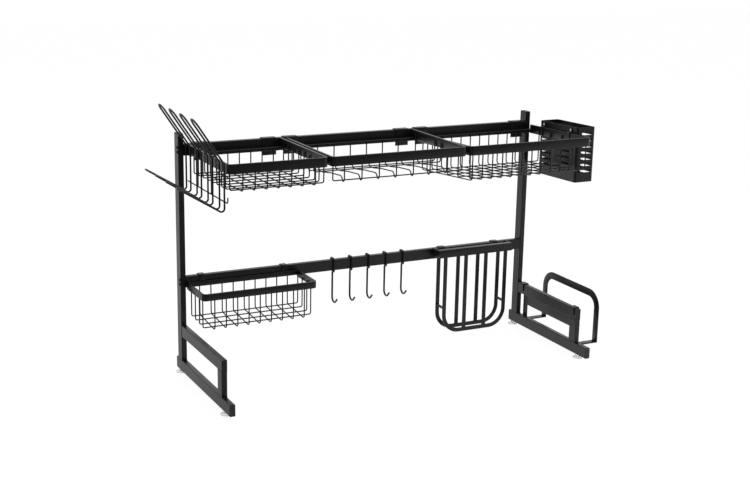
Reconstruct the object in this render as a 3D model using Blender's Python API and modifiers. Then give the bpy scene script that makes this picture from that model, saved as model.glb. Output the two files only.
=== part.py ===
"""Over-sink dish rack: two steel legs joined by two rails, with baskets, holders and hooks hung on them.

Run with blender --background --python part.py, or from the text editor. Lengths are in metres and +Z is up.
Places are first worked out from the middle of the rack (X), the posts' front faces (Y) and the base rails'
undersides (Z). One empty then moves the whole rack so that its origin is at the centre of its footprint.
"""

from math import cos, pi, radians, sin, tan

import bmesh
import bpy
from mathutils import Matrix, Vector

# Driving sizes of the frame
RACK_WIDTH = 0.866
RACK_HEIGHT = 0.520
RACK_DEPTH = 0.3225
TUBE_WIDE = 0.025
TUBE_THIN = 0.012
TUBE_WALL = 0.001
TUBE_CORNER = 0.0015
SEAT = 0.0003
SLIP = 0.0005
OVERRUN = 0.002

# Where the frame's members stand
REAR_OVERHANG = 0.010
UPRIGHT_SETBACK = 0.0435
SIDE_BAR_TOP = 0.1045
TOP_RAIL_DROP = 0.022
MID_RAIL_TOP = 0.2125
RAIL_END = 0.004
END_WALL = 0.0015

# Plugs, caps, bolts and feet
CAP_THICK = 0.0015
CAP_INSERT = 0.008
BOLT_SHANK = 0.002
BOLT_HEAD = 0.0037
BOLT_HEAD_HIGH = 0.0022
BOLT_SPREAD = 0.0095
BOLT_REACH = 0.0015
SOCKET_WIDE = 0.0013
SOCKET_DEEP = 0.0011
FOOT_HEIGHT = 0.008
FOOT_RADIUS = 0.012
FOOT_NECK = 0.005
FOOT_STEM = 0.0022
FOOT_STEM_HIGH = 0.005
FOOT_LIP = 0.0012
FRONT_FOOT_INSET = 0.037
REAR_FOOT_INSET = 0.012

# Upper baskets: flat bar rims on sheet clips, with wire cages below
LEFT_BASKET_WIDTH = 0.214
RIGHT_BASKET_WIDTH = 0.310
LEFT_BASKET_INSET = 0.007
RIGHT_BASKET_OVERLAP = 0.016
BASKET_GAP = 0.0065
BASKET_REACH = 0.240
RIM_HIGH = 0.020
RIM_THICK = 0.005
RIM_RADIUS = 0.010
STRIP_DEEP = 0.012
STRIP_HIGH = 0.0075
BAR_DEEP = 0.0032
BAR_HIGH = 0.0105
CLIP_SHEET = 0.0015
CLIP_WIDTH = 0.032
CLIP_INSET = 0.014
CLIP_OVERHANG = 0.0025
CLIP_LIP = 0.011
CLIP_TAIL = 0.016
POST_CLIP_GAP = 0.0095
WIRE_RADIUS = 0.0014
WIRE_BEND = 0.007
SIDE_BEND = 0.004
WIRE_SINK = 0.0007
WIRE_WELD = 0.008

# Cage floors, measured down from the rims' tops
LEFT_FLOOR_FRONT = 0.0565
LEFT_FLOOR_BACK = 0.0615
MIDDLE_FLOOR = 0.0545
RIGHT_FLOOR_FRONT = 0.0745
RIGHT_FLOOR_BACK = 0.084
HUMP_HIGH = 0.010
HUMP_RUN = 0.010
RIGHT_DROOP = 0.0085

# How far the first and the last cross wires stand from a rim's sides
LEFT_MARGINS = (0.0328, 0.0265)
MIDDLE_MARGINS = (0.031, 0.046)
RIGHT_MARGINS = (0.0108, 0.0265)
LOWER_MARGINS = (0.0281, 0.0281)

# Lower basket on the mid rail
LOWER_BASKET_WIDTH = 0.260
LOWER_BASKET_INSET = 0.001
LOWER_REACH = 0.103
LOWER_RIM_HIGH = 0.015
LOWER_RIM_DROP = 0.013
LOWER_FLOOR_FRONT = 0.0815
LOWER_FLOOR_BACK = 0.0745
TAB_WIDTH = 0.013
TAB_INSET = 0.0345
TAB_TAIL = 0.014

# Plate rack on the left basket
PLATE_WIRE = 0.0019
PLATE_LOOP_COUNT = 4
PLATE_LOOP_WIDE = 0.027
PLATE_REAR_INSET = 0.004
PLATE_FRONT_INSET = 0.011
PLATE_VERTICAL = 0.099
PLATE_LEAN_RISE = 0.088
PLATE_LEAN_OUT = 0.059
PLATE_ARM_RISE = 0.055
PLATE_ARM_OUT = 0.0906
PLATE_BEND = 0.006
PLATE_CROSS_RISE = 0.022
PLATE_CROSS_TIP = 0.012
PLATE_STRAP_WIDE = 0.009
PLATE_STRAP_SHEET = 0.0015
PLATE_STRAP_DROP = 0.016
PLATE_STRAP_TAIL = 0.006
PLATE_STRAP_LAP = 0.003

# Utensil box on the right basket
BOX_WIDE = 0.049
BOX_DEEP = 0.1485
BOX_HIGH = 0.125
BOX_WALL = 0.001
BOX_RADIUS = 0.005
BOX_REAR_INSET = 0.034
BOX_ABOVE_RIM = 0.0135
HOOK_PLATE_SHEET = 0.0015
HOOK_PLATE_DROP = 0.020
BOX_HOOK_WIDE = 0.009
BOX_HOOK_RISE = 0.0105
SLOT_HIGH = 0.0052
SLOT_PITCH = 0.0142
SLOT_ROWS = 7
SLOT_TOP = 0.0148
SIDE_SLOT = 0.044
SIDE_SLOT_INSETS = (0.028, 0.100)
FRONT_SLOT = 0.037
RIVET_HEAD = 0.0035
RIVET_HEAD_HIGH = 0.0015
RIVET_SHANK = 0.0015
REAR_RIVET_INSET = 0.0181
FRONT_RIVET_INSET = 0.0235

# Loose hooks on the mid rail
HOOK_COUNT = 5
HOOK_WIRE = 0.0022
HOOK_LEFT_MARGIN = 0.086
HOOK_RIGHT_MARGIN = 0.077
HOOK_BOTTOM = 0.1125
HOOK_CURL = 0.011
HOOK_TIP = 0.0095
HOOK_TAIL = 0.012
HOOK_BEND = 0.0035
HOOK_JOG_BEND = 0.0025

# Board holder on the mid rail
BOARD_WIDTH = 0.197
BOARD_INSET = 0.045
BOARD_DEPTH = 0.033
BOARD_BAR_HIGH = 0.0185
BOARD_BAR_DEEP = 0.013
BOARD_SHEET = 0.003
BOARD_FLAT = 0.0095
BOARD_TOP_RISE = 0.003
BOARD_CLEARANCE = 0.013
BOARD_LOOP_INSET = 0.0125
BOARD_RADIUS = 0.045
BOARD_SPACER_LEVEL = 0.0745
BOARD_SPACER = 0.0035
BOARD_TAB_WIDE = 0.0155
BOARD_TAB_INSET = 0.0265
BOARD_TAB_TAIL = 0.016

# Lid holder on the right leg
LID_FLAT = 0.017
LID_SHEET = 0.003
LID_HOOK_SHEET = 0.002
LID_WIDTH = 0.2265
LID_REAR_INSET = 0.009
LID_REACH = 0.058
LID_TOP = 0.133
LID_BOTTOM = 0.013
LID_RADIUS = 0.040
LID_TAIL = 0.016
LID_CROSS_LEVEL = 0.052
LID_CROSS_HIGH = 0.023

# Numbers of sides and steps
ROUND_STEPS = 16
CORNER_STEPS = 3
BEND_STEPS = 2
CURL_STEPS = 7
PIN_STEPS = 12
SHARP_ANGLE = radians(40)
CURL_TURN = radians(135)
NEST_TURN = radians(45)

# Shares of the sizes that they follow
LEFT_LONG_SHARES = (0.04, 0.163, 0.287, 0.411, 0.535, 0.659, 0.783, 0.879)
MIDDLE_LONG_SHARES = (0.04, 0.44, 0.56)
RIGHT_LONG_SHARES = (0.134, 0.34, 0.549, 0.757)
LOWER_LONG_SHARES = (0.089, 0.349, 0.619, 0.846)
MIDDLE_DIP_SHARE = 0.44
HUMP_SHARES = (0.7, 0.65, 0.12)
HUMP_END_SHARE = 0.82
STRIP_LAP_SHARE = 0.34
DOME_SHARES = (0.62, 0.9, 0.6)
BOARD_REAR_SHARES = (0.335, 0.646)
BOARD_FRONT_SHARES = (0.346, 0.66)
PLATE_STRAP_SHARES = (0.28, 0.63)

LEFT_WIRES = 7
MIDDLE_WIRES = 7
RIGHT_WIRES = 12
LOWER_WIRES = 9

# Edges and levels worked out from the sizes above
POST_OUTER = RACK_WIDTH / 2
POST_INNER = POST_OUTER - TUBE_THIN
BASE_REAR = TUBE_WIDE + REAR_OVERHANG
BASE_FRONT = BASE_REAR - RACK_DEPTH
UPRIGHT_FRONT = BASE_FRONT + UPRIGHT_SETBACK
TOP_RAIL_TOP = RACK_HEIGHT - TOP_RAIL_DROP
LEFT_BASKET_LEFT = -POST_INNER + LEFT_BASKET_INSET
LEFT_BASKET_RIGHT = LEFT_BASKET_LEFT + LEFT_BASKET_WIDTH
RIGHT_BASKET_RIGHT = POST_INNER + RIGHT_BASKET_OVERLAP
RIGHT_BASKET_LEFT = RIGHT_BASKET_RIGHT - RIGHT_BASKET_WIDTH
MIDDLE_BASKET_LEFT = LEFT_BASKET_RIGHT + BASKET_GAP
MIDDLE_BASKET_RIGHT = RIGHT_BASKET_LEFT - BASKET_GAP
BASKET_FRONT = -BASKET_REACH
LOWER_LEFT = -POST_INNER + LOWER_BASKET_INSET
LOWER_RIGHT = LOWER_LEFT + LOWER_BASKET_WIDTH
BOARD_RIGHT = POST_INNER - BOARD_INSET
BOARD_LEFT = BOARD_RIGHT - BOARD_WIDTH
PLATE_X = LEFT_BASKET_LEFT - 2 * SEAT - PLATE_STRAP_SHEET - PLATE_WIRE
BOX_LEFT = RIGHT_BASKET_RIGHT + HOOK_PLATE_SHEET + 2 * SEAT
BOX_TOP = TOP_RAIL_TOP + BOX_ABOVE_RIM
RIVET_X = RIGHT_BASKET_RIGHT + SEAT
LID_OUTER = POST_OUTER + SEAT + LID_REACH
RACK_LEFT = PLATE_X - PLATE_ARM_OUT - PLATE_WIRE
RACK_RIGHT = max(LID_OUTER, BOX_LEFT + BOX_WIDE)

FINISHES = {
    "black_steel": ((0.016, 0.016, 0.017), 0.42, 0.55),
    "black_wire": ((0.012, 0.012, 0.013), 0.38, 0.55),
    "black_plastic": ((0.02, 0.02, 0.02), 0.6, 0.0),
    "bolt_steel": ((0.03, 0.03, 0.032), 0.35, 0.8),
    "rivet_steel": ((0.6, 0.59, 0.58), 0.35, 1.0),
    "clear_rubber": ((0.75, 0.76, 0.76), 0.35, 0.0),
}


# Scene, materials and placing

def clear_scene():
    for item in list(bpy.data.objects):
        bpy.data.objects.remove(item, do_unlink=True)


def collection(name, hidden=False):
    group = bpy.data.collections.new(name)
    bpy.context.scene.collection.children.link(group)
    group.hide_render = hidden
    return group


def finish(name):
    """The Principled material of this name, made on first use."""
    found = bpy.data.materials.get(name)
    if found:
        return found
    colour, roughness, metallic = FINISHES[name]
    made = bpy.data.materials.new(name)
    made.use_nodes = True
    shader = made.node_tree.nodes["Principled BSDF"]
    shader.inputs["Base Color"].default_value = (*colour, 1.0)
    shader.inputs["Roughness"].default_value = roughness
    shader.inputs["Metallic"].default_value = metallic
    made.diffuse_color = (*colour, 1.0)
    return made


class Bench:
    """Keeps the collections and puts finished meshes on their bodies."""

    def __init__(self):
        self.parts = collection("over_sink_dish_rack")
        self.helpers = collection("cutters", hidden=True)
        middle = (RACK_LEFT + RACK_RIGHT) / 2
        depth_middle = (BASE_FRONT + BASE_REAR) / 2
        self.root = self.empty("rack_origin", Vector((-middle, -depth_middle, FOOT_HEIGHT)), None)

    def empty(self, name, place, parent):
        holder = bpy.data.objects.new(name, None)
        holder.location = place
        holder.parent = parent
        self.parts.objects.link(holder)
        return holder

    def body(self, name, place, parent=None):
        """An empty at a place given in the frame's own coordinates."""
        carrier = parent or self.root
        offset = Vector(place) - Vector(carrier.get("place", (0, 0, 0)))
        made = self.empty(name, offset, carrier)
        made["place"] = list(place)
        return made

    def put(self, name, mesh, finish_name, body=None):
        """An object for a mesh that was shaped in the frame's own coordinates."""
        carrier = body or self.root
        mesh.transform(Matrix.Translation(-Vector(carrier.get("place", (0, 0, 0)))))
        return self.place(name, mesh, finish_name, carrier, Vector())

    def place(self, name, mesh, finish_name, carrier, location):
        """An object for a mesh that was shaped about its own origin."""
        mesh.name = name
        mesh.materials.clear()
        mesh.materials.append(finish(finish_name))
        mesh.shade_smooth()
        mesh.set_sharp_from_angle(angle=SHARP_ANGLE)
        item = bpy.data.objects.new(name, mesh)
        item.location = location
        item.parent = carrier
        self.parts.objects.link(item)
        return item

    def evaluated(self, item):
        """The mesh that an object's modifiers or curve settings give. The object is removed."""
        bpy.context.view_layer.update()
        graph = bpy.context.evaluated_depsgraph_get()
        mesh = bpy.data.meshes.new_from_object(item.evaluated_get(graph))
        mesh.transform(item.matrix_world)
        data = item.data
        bpy.data.objects.remove(item, do_unlink=True)
        if isinstance(data, bpy.types.Curve):
            bpy.data.curves.remove(data)
        else:
            bpy.data.meshes.remove(data)
        return mesh

    def combine(self, operation, mesh, others):
        """The mesh joined with the others, or cut by them."""
        operands = bpy.data.collections.new("operands")
        self.helpers.children.link(operands)
        for other in others:
            operands.objects.link(self.helper(other))
        base = self.helper(mesh)
        self.helpers.objects.link(base)
        joint = base.modifiers.new(operation.lower(), "BOOLEAN")
        joint.operation = operation
        joint.operand_type = "COLLECTION"
        joint.collection = operands
        made = self.evaluated(base)
        for item in list(operands.objects):
            data = item.data
            bpy.data.objects.remove(item, do_unlink=True)
            bpy.data.meshes.remove(data)
        bpy.data.collections.remove(operands)
        return made

    def helper(self, mesh):
        item = bpy.data.objects.new("helper", mesh)
        item.hide_render = True
        item.display_type = "WIRE"
        return item

    def union(self, *meshes):
        return self.combine("UNION", meshes[0], meshes[1:])

    def cut(self, mesh, *cutters):
        return self.combine("DIFFERENCE", mesh, cutters)

    def curve_mesh(self, curve):
        """A filled or bevelled curve as a closed mesh."""
        item = bpy.data.objects.new("outline", curve)
        self.helpers.objects.link(item)
        mesh = self.evaluated(item)
        welded(mesh)
        return mesh

    def flat(self, outlines, low, high, plane):
        """Outlines filled and given thickness from low to high along the plane's normal."""
        curve = bpy.data.curves.new("outline", "CURVE")
        curve.dimensions = "2D"
        curve.fill_mode = "BOTH"
        curve.extrude = (high - low) / 2
        for outline in outlines:
            add_spline(curve, [(u, v, 0) for u, v in outline], True)
        mesh = self.curve_mesh(curve)
        mesh.transform(PLANES[plane] @ Matrix.Translation((0, 0, (high + low) / 2)))
        return mesh

    def wire(self, points, radius, resolution=1, cyclic=False):
        """A round wire through the points. Resolution 1 gives six sides and 2 gives eight."""
        curve = bpy.data.curves.new("wire", "CURVE")
        curve.dimensions = "3D"
        curve.bevel_depth = radius
        curve.bevel_resolution = resolution
        curve.use_fill_caps = True
        add_spline(curve, points, cyclic)
        return self.curve_mesh(curve)

    def turned(self, profile, steps=ROUND_STEPS):
        """A profile of (radius, height) pairs, outer side top to bottom, turned about Z."""
        mesh = bpy.data.meshes.new("profile")
        edges = [(i, i + 1) for i in range(len(profile) - 1)]
        mesh.from_pydata([(r, 0, z) for r, z in profile], edges, [])
        item = bpy.data.objects.new("profile", mesh)
        self.helpers.objects.link(item)
        screw = item.modifiers.new("turn", "SCREW")
        screw.steps = steps
        screw.render_steps = steps
        screw.use_merge_vertices = True
        screw.merge_threshold = SEAT / 10
        made = self.evaluated(item)
        welded(made)
        return made


# Local X, Y and Z of a flat outline mapped to the frame's axes
PLANES = {
    "XY": Matrix(((1, 0, 0, 0), (0, 1, 0, 0), (0, 0, 1, 0), (0, 0, 0, 1))),
    "YZ": Matrix(((0, 0, 1, 0), (1, 0, 0, 0), (0, 1, 0, 0), (0, 0, 0, 1))),
    "ZX": Matrix(((0, 1, 0, 0), (0, 0, 1, 0), (1, 0, 0, 0), (0, 0, 0, 1))),
}


def welded(mesh):
    """Joins a curve's loose caps to its sides and faces the mesh outward."""
    work = bmesh.new()
    work.from_mesh(mesh)
    bmesh.ops.remove_doubles(work, verts=work.verts, dist=SEAT / 30)
    bmesh.ops.recalc_face_normals(work, faces=work.faces)
    work.to_mesh(mesh)
    work.free()


def add_spline(curve, points, cyclic):
    spline = curve.splines.new("POLY")
    spline.points.add(len(points) - 1)
    for knot, point in zip(spline.points, points):
        knot.co = (*point, 1)
    spline.use_cyclic_u = cyclic


# Outlines and paths

def box_mesh(low, high):
    """A box between two corners."""
    work = bmesh.new()
    bmesh.ops.create_cube(work, size=1)
    size = [b - a for a, b in zip(low, high)]
    bmesh.ops.scale(work, vec=size, verts=work.verts)
    bmesh.ops.translate(work, vec=[(a + b) / 2 for a, b in zip(low, high)], verts=work.verts)
    mesh = bpy.data.meshes.new("box")
    work.to_mesh(mesh)
    work.free()
    return mesh


def pin_mesh(radius, length, segments=PIN_STEPS):
    """A pin along Z, centred on the origin."""
    work = bmesh.new()
    bmesh.ops.create_cone(
        work, cap_ends=True, segments=segments, radius1=radius, radius2=radius, depth=length
    )
    mesh = bpy.data.meshes.new("pin")
    work.to_mesh(mesh)
    work.free()
    return mesh


def moved(mesh, place, turn=None):
    """The mesh turned, then moved."""
    mesh.transform(Matrix.Translation(place) @ (turn or Matrix()))
    return mesh


ALONG_X = Matrix.Rotation(pi / 2, 4, "Y")
AGAINST_X = Matrix.Rotation(-pi / 2, 4, "Y")


def softened(corners, radius, steps=BEND_STEPS, closed=False):
    """The corners as a path whose turns are arcs. The radius may be a list with one value a corner."""
    points = [Vector(corner) for corner in corners]
    radii = radius if isinstance(radius, (list, tuple)) else [radius] * len(points)
    path = []
    for i, point in enumerate(points):
        ends = not closed and i in (0, len(points) - 1)
        if ends or radii[i] == 0:
            path.append(tuple(point))
            continue
        before = (points[i - 1] - point).normalized()
        after = (points[(i + 1) % len(points)] - point).normalized()
        half = before.angle(after) / 2
        centre = point + (before + after).normalized() * (radii[i] / sin(half))
        start = point + before * (radii[i] / tan(half)) - centre
        end = point + after * (radii[i] / tan(half)) - centre
        swing = start.angle(end)
        for step in range(steps + 1):
            angle = swing * step / steps
            spoke = (start * sin(swing - angle) + end * sin(angle)) / sin(swing)
            path.append(tuple(centre + spoke))
    return path


def rectangle(u0, v0, u1, v1, radius=0, steps=CORNER_STEPS):
    return softened([(u0, v0), (u1, v0), (u1, v1), (u0, v1)], radius, steps, closed=True)


def strip(path, thickness):
    """The outline of a bar that follows an open path on its left, this thick to the path's right."""
    points = [Vector(point) for point in path]
    other = []
    for i, point in enumerate(points):
        before = (point - points[i - 1]).normalized() if i else None
        after = (points[i + 1] - point).normalized() if i + 1 < len(points) else None
        along = before if after is None else after if before is None else (before + after).normalized()
        side = Vector((along.y, -along.x))
        stretch = along.dot(after if after is not None else before)
        other.append(tuple(point + side * (thickness / stretch)))
    return [tuple(point) for point in points] + other[::-1]


# Frame

def tube_outlines(wide, thin):
    outer = rectangle(-wide / 2, -thin / 2, wide / 2, thin / 2, TUBE_CORNER, 2)
    inner = rectangle(
        -wide / 2 + TUBE_WALL, -thin / 2 + TUBE_WALL, wide / 2 - TUBE_WALL, thin / 2 - TUBE_WALL
    )
    return outer, inner


def bolt_holes(level):
    """Where a rail whose top is at this level is bolted: the two hole centres (Y, Z)."""
    middle = level - TUBE_WIDE / 2
    return [(TUBE_THIN / 2, middle + side * BOLT_SPREAD / 2) for side in (-1, 1)]


def hole_cutters(level, x, length):
    cutters = []
    for y, z in bolt_holes(level):
        cutters.append(moved(pin_mesh(BOLT_SHANK + SLIP, length), (x, y, z), ALONG_X))
    return cutters


def add_rail(bench, name, top):
    """A cross rail: a tube closed by end plates that its bolts screw into."""
    end = POST_INNER - SEAT
    middle = Vector((TUBE_THIN / 2, top - TUBE_WIDE / 2))
    outer, inner = tube_outlines(TUBE_THIN, TUBE_WIDE)
    outer = [tuple(middle + Vector(point)) for point in outer]
    inner = [tuple(middle + Vector(point)) for point in inner]
    bar = bench.flat([outer], -end, end, "YZ")
    hollow = bench.flat([inner], -end + RAIL_END, end - RAIL_END, "YZ")
    holes = hole_cutters(top, -end, 4 * RAIL_END) + hole_cutters(top, end, 4 * RAIL_END)
    bench.put(name, bench.cut(bar, hollow, *holes), "black_steel")


def add_leg(bench, side, sign):
    """A leg: base rail, rear post, side bar and short front upright, with its plugs and feet."""
    x = sign * (POST_OUTER - TUBE_THIN / 2)
    outlines = tube_outlines(TUBE_THIN, TUBE_WIDE)

    def standing(shapes, y):
        return [[(x + u, y + v) for u, v in shape] for shape in shapes]

    def along_y(shapes, z):
        return [[(z + v, x + u) for u, v in shape] for shape in shapes]

    foot_places = [(x, BASE_FRONT + FRONT_FOOT_INSET), (x, BASE_REAR - REAR_FOOT_INSET)]
    plug = CAP_THICK + SEAT
    rail = bench.flat(along_y(outlines, TUBE_WIDE / 2), BASE_FRONT + plug, BASE_REAR - plug, "ZX")
    stems = [moved(pin_mesh(FOOT_STEM + SLIP, TUBE_THIN), (px, py, 0)) for px, py in foot_places]
    bench.put(f"{side}_Base_Rail", bench.cut(rail, *stems), "black_steel")

    low = TUBE_WIDE + SEAT
    post = bench.flat(standing(outlines, TUBE_WIDE / 2), low, RACK_HEIGHT - CAP_THICK - SEAT, "XY")
    holes = hole_cutters(TOP_RAIL_TOP, x, 2 * TUBE_THIN) + hole_cutters(MID_RAIL_TOP, x, 2 * TUBE_THIN)
    bench.put(f"{side}_Post", bench.cut(post, *holes), "black_steel")

    bar_middle = SIDE_BAR_TOP - TUBE_WIDE / 2
    bar = bench.flat(along_y(outlines[:1], bar_middle), UPRIGHT_FRONT, -SEAT, "ZX")
    hollow = bench.flat(along_y(outlines[1:], bar_middle), UPRIGHT_FRONT + END_WALL, OVERRUN, "ZX")
    bench.put(f"{side}_Side_Bar", bench.cut(bar, hollow), "black_steel")

    middle = UPRIGHT_FRONT + TUBE_WIDE / 2
    short = bench.flat(standing(outlines, middle), low, SIDE_BAR_TOP - TUBE_WIDE - SEAT, "XY")
    bench.put(f"{side}_Front_Upright", short, "black_steel")

    cap = cap_mesh(bench, standing, RACK_HEIGHT - CAP_THICK, RACK_HEIGHT)
    bench.put(f"{side}_Post_Cap", cap, "black_plastic")
    for end, y, way in (("Front", BASE_FRONT, 1), ("Rear", BASE_REAR, -1)):
        bench.put(f"{side}_{end}_Plug", plug_mesh(bench, along_y, y, way), "black_plastic")
    for (px, py), end in zip(foot_places, ("Front", "Rear")):
        place = (px, py, -FOOT_HEIGHT)
        bench.place(f"{side}_{end}_Foot", foot_mesh(bench), "clear_rubber", bench.root, place)


def insert_outline():
    """The part of a plug that goes into a tube."""
    slack = TUBE_WALL + SLIP
    thin, wide = TUBE_THIN / 2 - slack, TUBE_WIDE / 2 - slack
    return rectangle(-thin, -wide, thin, wide)


def cap_mesh(bench, standing, low, high):
    outline = tube_outlines(TUBE_THIN, TUBE_WIDE)[0]
    lid = bench.flat(standing([outline], TUBE_WIDE / 2), low, high, "XY")
    root = high - CAP_THICK / 2
    insert = bench.flat(standing([insert_outline()], TUBE_WIDE / 2), low - CAP_INSERT, root, "XY")
    return bench.union(lid, insert)


def plug_mesh(bench, along_y, y, way):
    """A base rail's end plug: way is +1 where the rail lies at greater Y."""
    outline = tube_outlines(TUBE_THIN, TUBE_WIDE)[0]
    face, back, tip = y, y + way * CAP_THICK, y + way * (CAP_THICK + CAP_INSERT)
    lid = bench.flat(along_y([outline], TUBE_WIDE / 2), min(face, back), max(face, back), "ZX")
    root = y + way * CAP_THICK / 2
    insert = bench.flat(along_y([insert_outline()], TUBE_WIDE / 2), min(root, tip), max(root, tip), "ZX")
    return bench.union(lid, insert)


def foot_mesh(bench):
    """A clear foot whose stem pushes up into the base rail. Its flat underside is at Z = 0."""
    top = FOOT_HEIGHT - SEAT
    profile = [
        (0, FOOT_HEIGHT + FOOT_STEM_HIGH),
        (FOOT_STEM, FOOT_HEIGHT + FOOT_STEM_HIGH),
        (FOOT_STEM, top),
        (FOOT_NECK, top),
        (FOOT_NECK, top - FOOT_HEIGHT / 4),
        (FOOT_RADIUS, FOOT_LIP),
        (FOOT_RADIUS, 0),
        (0, 0),
    ]
    return bench.turned(profile)


def bolt_mesh(bench):
    """A button-head bolt along Z: its head's underside is at Z = 0 and its shank runs down."""
    reach = TUBE_THIN + SEAT + RAIL_END + BOLT_REACH
    profile = [
        (0, BOLT_HEAD_HIGH),
        (BOLT_HEAD * DOME_SHARES[0], BOLT_HEAD_HIGH),
        (BOLT_HEAD * DOME_SHARES[1], BOLT_HEAD_HIGH * DOME_SHARES[2]),
        (BOLT_HEAD, SEAT),
        (BOLT_SHANK, SEAT),
        (BOLT_SHANK, -reach),
        (0, -reach),
    ]
    bolt = bench.turned(profile, PIN_STEPS)
    socket = pin_mesh(SOCKET_WIDE, 2 * SOCKET_DEEP, 6)
    return bench.cut(bolt, moved(socket, (0, 0, BOLT_HEAD_HIGH)))


def add_bolts(bench):
    for rail, top in (("Top", TOP_RAIL_TOP), ("Mid", MID_RAIL_TOP)):
        for side, sign, turn in (("Left", -1, AGAINST_X), ("Right", 1, ALONG_X)):
            for place, (y, z) in zip(("Lower", "Upper"), bolt_holes(top)):
                mesh = bolt_mesh(bench)
                mesh.transform(turn)
                name = f"{side}_{rail}_Bolt_{place}"
                bench.place(name, mesh, "bolt_steel", bench.root, (sign * POST_OUTER, y, z))


# Baskets

class Basket:
    """The sizes of one hanging basket: a flat bar rim, a strip at its back and a wire cage under it.

    An upper basket's clips have a lip and its rear wires end in front of the strip. The lower basket's tabs
    have none, its strip is a thin bar against the rail and its rear wires end under that bar.
    """

    def __init__(self, name, left, right, reach, rail_top, rim_drop, rim_high, tab, tail, lip, droop=0):
        self.name = name
        self.left = left
        self.right = right
        self.front = -reach
        self.back = -SEAT - CLIP_SHEET
        self.rail_top = rail_top
        self.top = rail_top - rim_drop
        self.high = rim_high
        self.tab = tab
        self.tail = tail
        self.lip = lip
        self.droop = droop
        self.wire_front = self.front + RIM_THICK + SEAT + WIRE_RADIUS
        if lip:
            self.strip_deep, self.strip_high = STRIP_DEEP, STRIP_HIGH
            self.strip_top = self.top - rim_high + STRIP_HIGH * STRIP_LAP_SHARE
            self.wire_back = self.back - STRIP_DEEP - SEAT - WIRE_RADIUS
            self.rear_rise = self.top - rim_high + droop
        else:
            self.strip_deep, self.strip_high = BAR_DEEP, BAR_HIGH
            self.strip_top = self.top - SEAT
            self.wire_back = self.back - BAR_DEEP / 2
            self.rear_rise = self.strip_top - BAR_HIGH - SEAT

    def at(self, share):
        """Y at this share of the way from the rear wires to the front wires."""
        return self.wire_back + (self.wire_front - self.wire_back) * share

    def drooped(self, mesh):
        """The mesh sheared so that the basket's back hangs lower than its front bar."""
        slope = self.droop / (self.back - self.front)
        shear = Matrix()
        shear[2][1] = -slope
        shear[2][3] = slope * self.front
        mesh.transform(shear)
        return mesh

    def floor(self, front_drop, back_drop):
        """The cross wires' level at any Y, from their depths below the rim's top."""
        slope = (back_drop - front_drop) / (self.wire_front - self.wire_back)
        return lambda y: self.top - back_drop + slope * (y - self.wire_back)


def hook_outline(rail_top, low, tail, sheet):
    """A sheet hook over a rail, seen along X: front plate, top and short tail behind."""
    front = -SEAT
    top = rail_top + SEAT
    back = TUBE_THIN + SEAT
    path = [(front, low), (front, top), (back, top), (back, rail_top - tail)]
    return strip(path, -sheet)


def rim_outline(basket):
    """A U of flat bar seen from above, open at the back."""
    corners = [
        (basket.left, basket.back),
        (basket.left, basket.front),
        (basket.right, basket.front),
        (basket.right, basket.back),
    ]
    path = softened(corners, [0, RIM_RADIUS, RIM_RADIUS, 0], CORNER_STEPS + 1)
    return strip(path, -RIM_THICK)


def spread(first, last, count):
    """Evenly spaced values from the first to the last."""
    return [first + (last - first) * i / (count - 1) for i in range(count)]


def rim_mesh(bench, basket, hook_places):
    """The rim, its back strip and the hooks that hang it on its rail."""
    bottom = basket.top - basket.high
    pieces = [basket.drooped(bench.flat([rim_outline(basket)], bottom, basket.top, "XY"))]
    lap = RIM_THICK / 2
    strip_low = basket.strip_top - basket.strip_high
    pieces.append(box_mesh(
        (basket.left + lap, basket.back - basket.strip_deep, strip_low),
        (basket.right - lap, basket.back + CLIP_SHEET / 2, basket.strip_top),
    ))
    low = basket.rail_top - TUBE_WIDE - basket.lip if basket.lip else strip_low + SEAT
    outline = hook_outline(basket.rail_top, low, basket.tail, CLIP_SHEET)
    for x in hook_places:
        pieces.append(bench.flat([outline], x - basket.tab / 2, x + basket.tab / 2, "YZ"))
    return bench.union(*pieces)


def nest():
    """How far behind and above a cross wire's front corner the front long wire lies, inside the bend."""
    return WIRE_BEND - (WIRE_BEND - 2 * WIRE_RADIUS + WIRE_SINK) * cos(NEST_TURN)


def long_wire(basket, y, z):
    """A long wire over the floor, up both sides of the rim."""
    inner = RIM_THICK + SEAT + WIRE_RADIUS
    low, high = basket.left + inner, basket.right - inner
    rise = basket.top - WIRE_WELD
    return softened([(low, y, rise), (low, y, z), (high, y, z), (high, y, rise)], SIDE_BEND)


def plain_cross_wire(basket, x, floor):
    """A cross wire: down behind the front bar, along the floor and up to the back strip."""
    front, back = basket.wire_front, basket.wire_back
    corners = [
        (x, front, basket.top - WIRE_WELD),
        (x, front, floor(front)),
        (x, back, floor(back)),
        (x, back, basket.rear_rise),
    ]
    return softened(corners, WIRE_BEND)


def hump_knots(basket, drop):
    """Knots (Y, level) of a floor that dips at the front and at the middle wires and swells behind each."""
    low = basket.top - drop
    dip = basket.at(MIDDLE_DIP_SHARE)
    knots = [(basket.wire_front, low)]
    for foot, end in ((basket.wire_front + WIRE_BEND, dip), (dip, basket.wire_back - WIRE_BEND)):
        knots.append((foot, low))
        knots.append((foot + HUMP_RUN / 2, low + HUMP_HIGH * HUMP_SHARES[0]))
        knots.append((foot + HUMP_RUN, low + HUMP_HIGH))
        knots.append((foot + (end - foot) / 2, low + HUMP_HIGH * HUMP_SHARES[1]))
        knots.append((foot + (end - foot) * HUMP_END_SHARE, low + HUMP_HIGH * HUMP_SHARES[2]))
    knots.append((basket.wire_back - WIRE_BEND, low))
    knots.append((basket.wire_back, low))
    return knots


def level_on(knots):
    """The level at any Y on straight runs between the knots."""

    def level(y):
        for (y0, z0), (y1, z1) in zip(knots, knots[1:]):
            if y <= y1:
                return z0 + (z1 - z0) * (y - y0) / (y1 - y0)
        return knots[-1][1]

    return level


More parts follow.
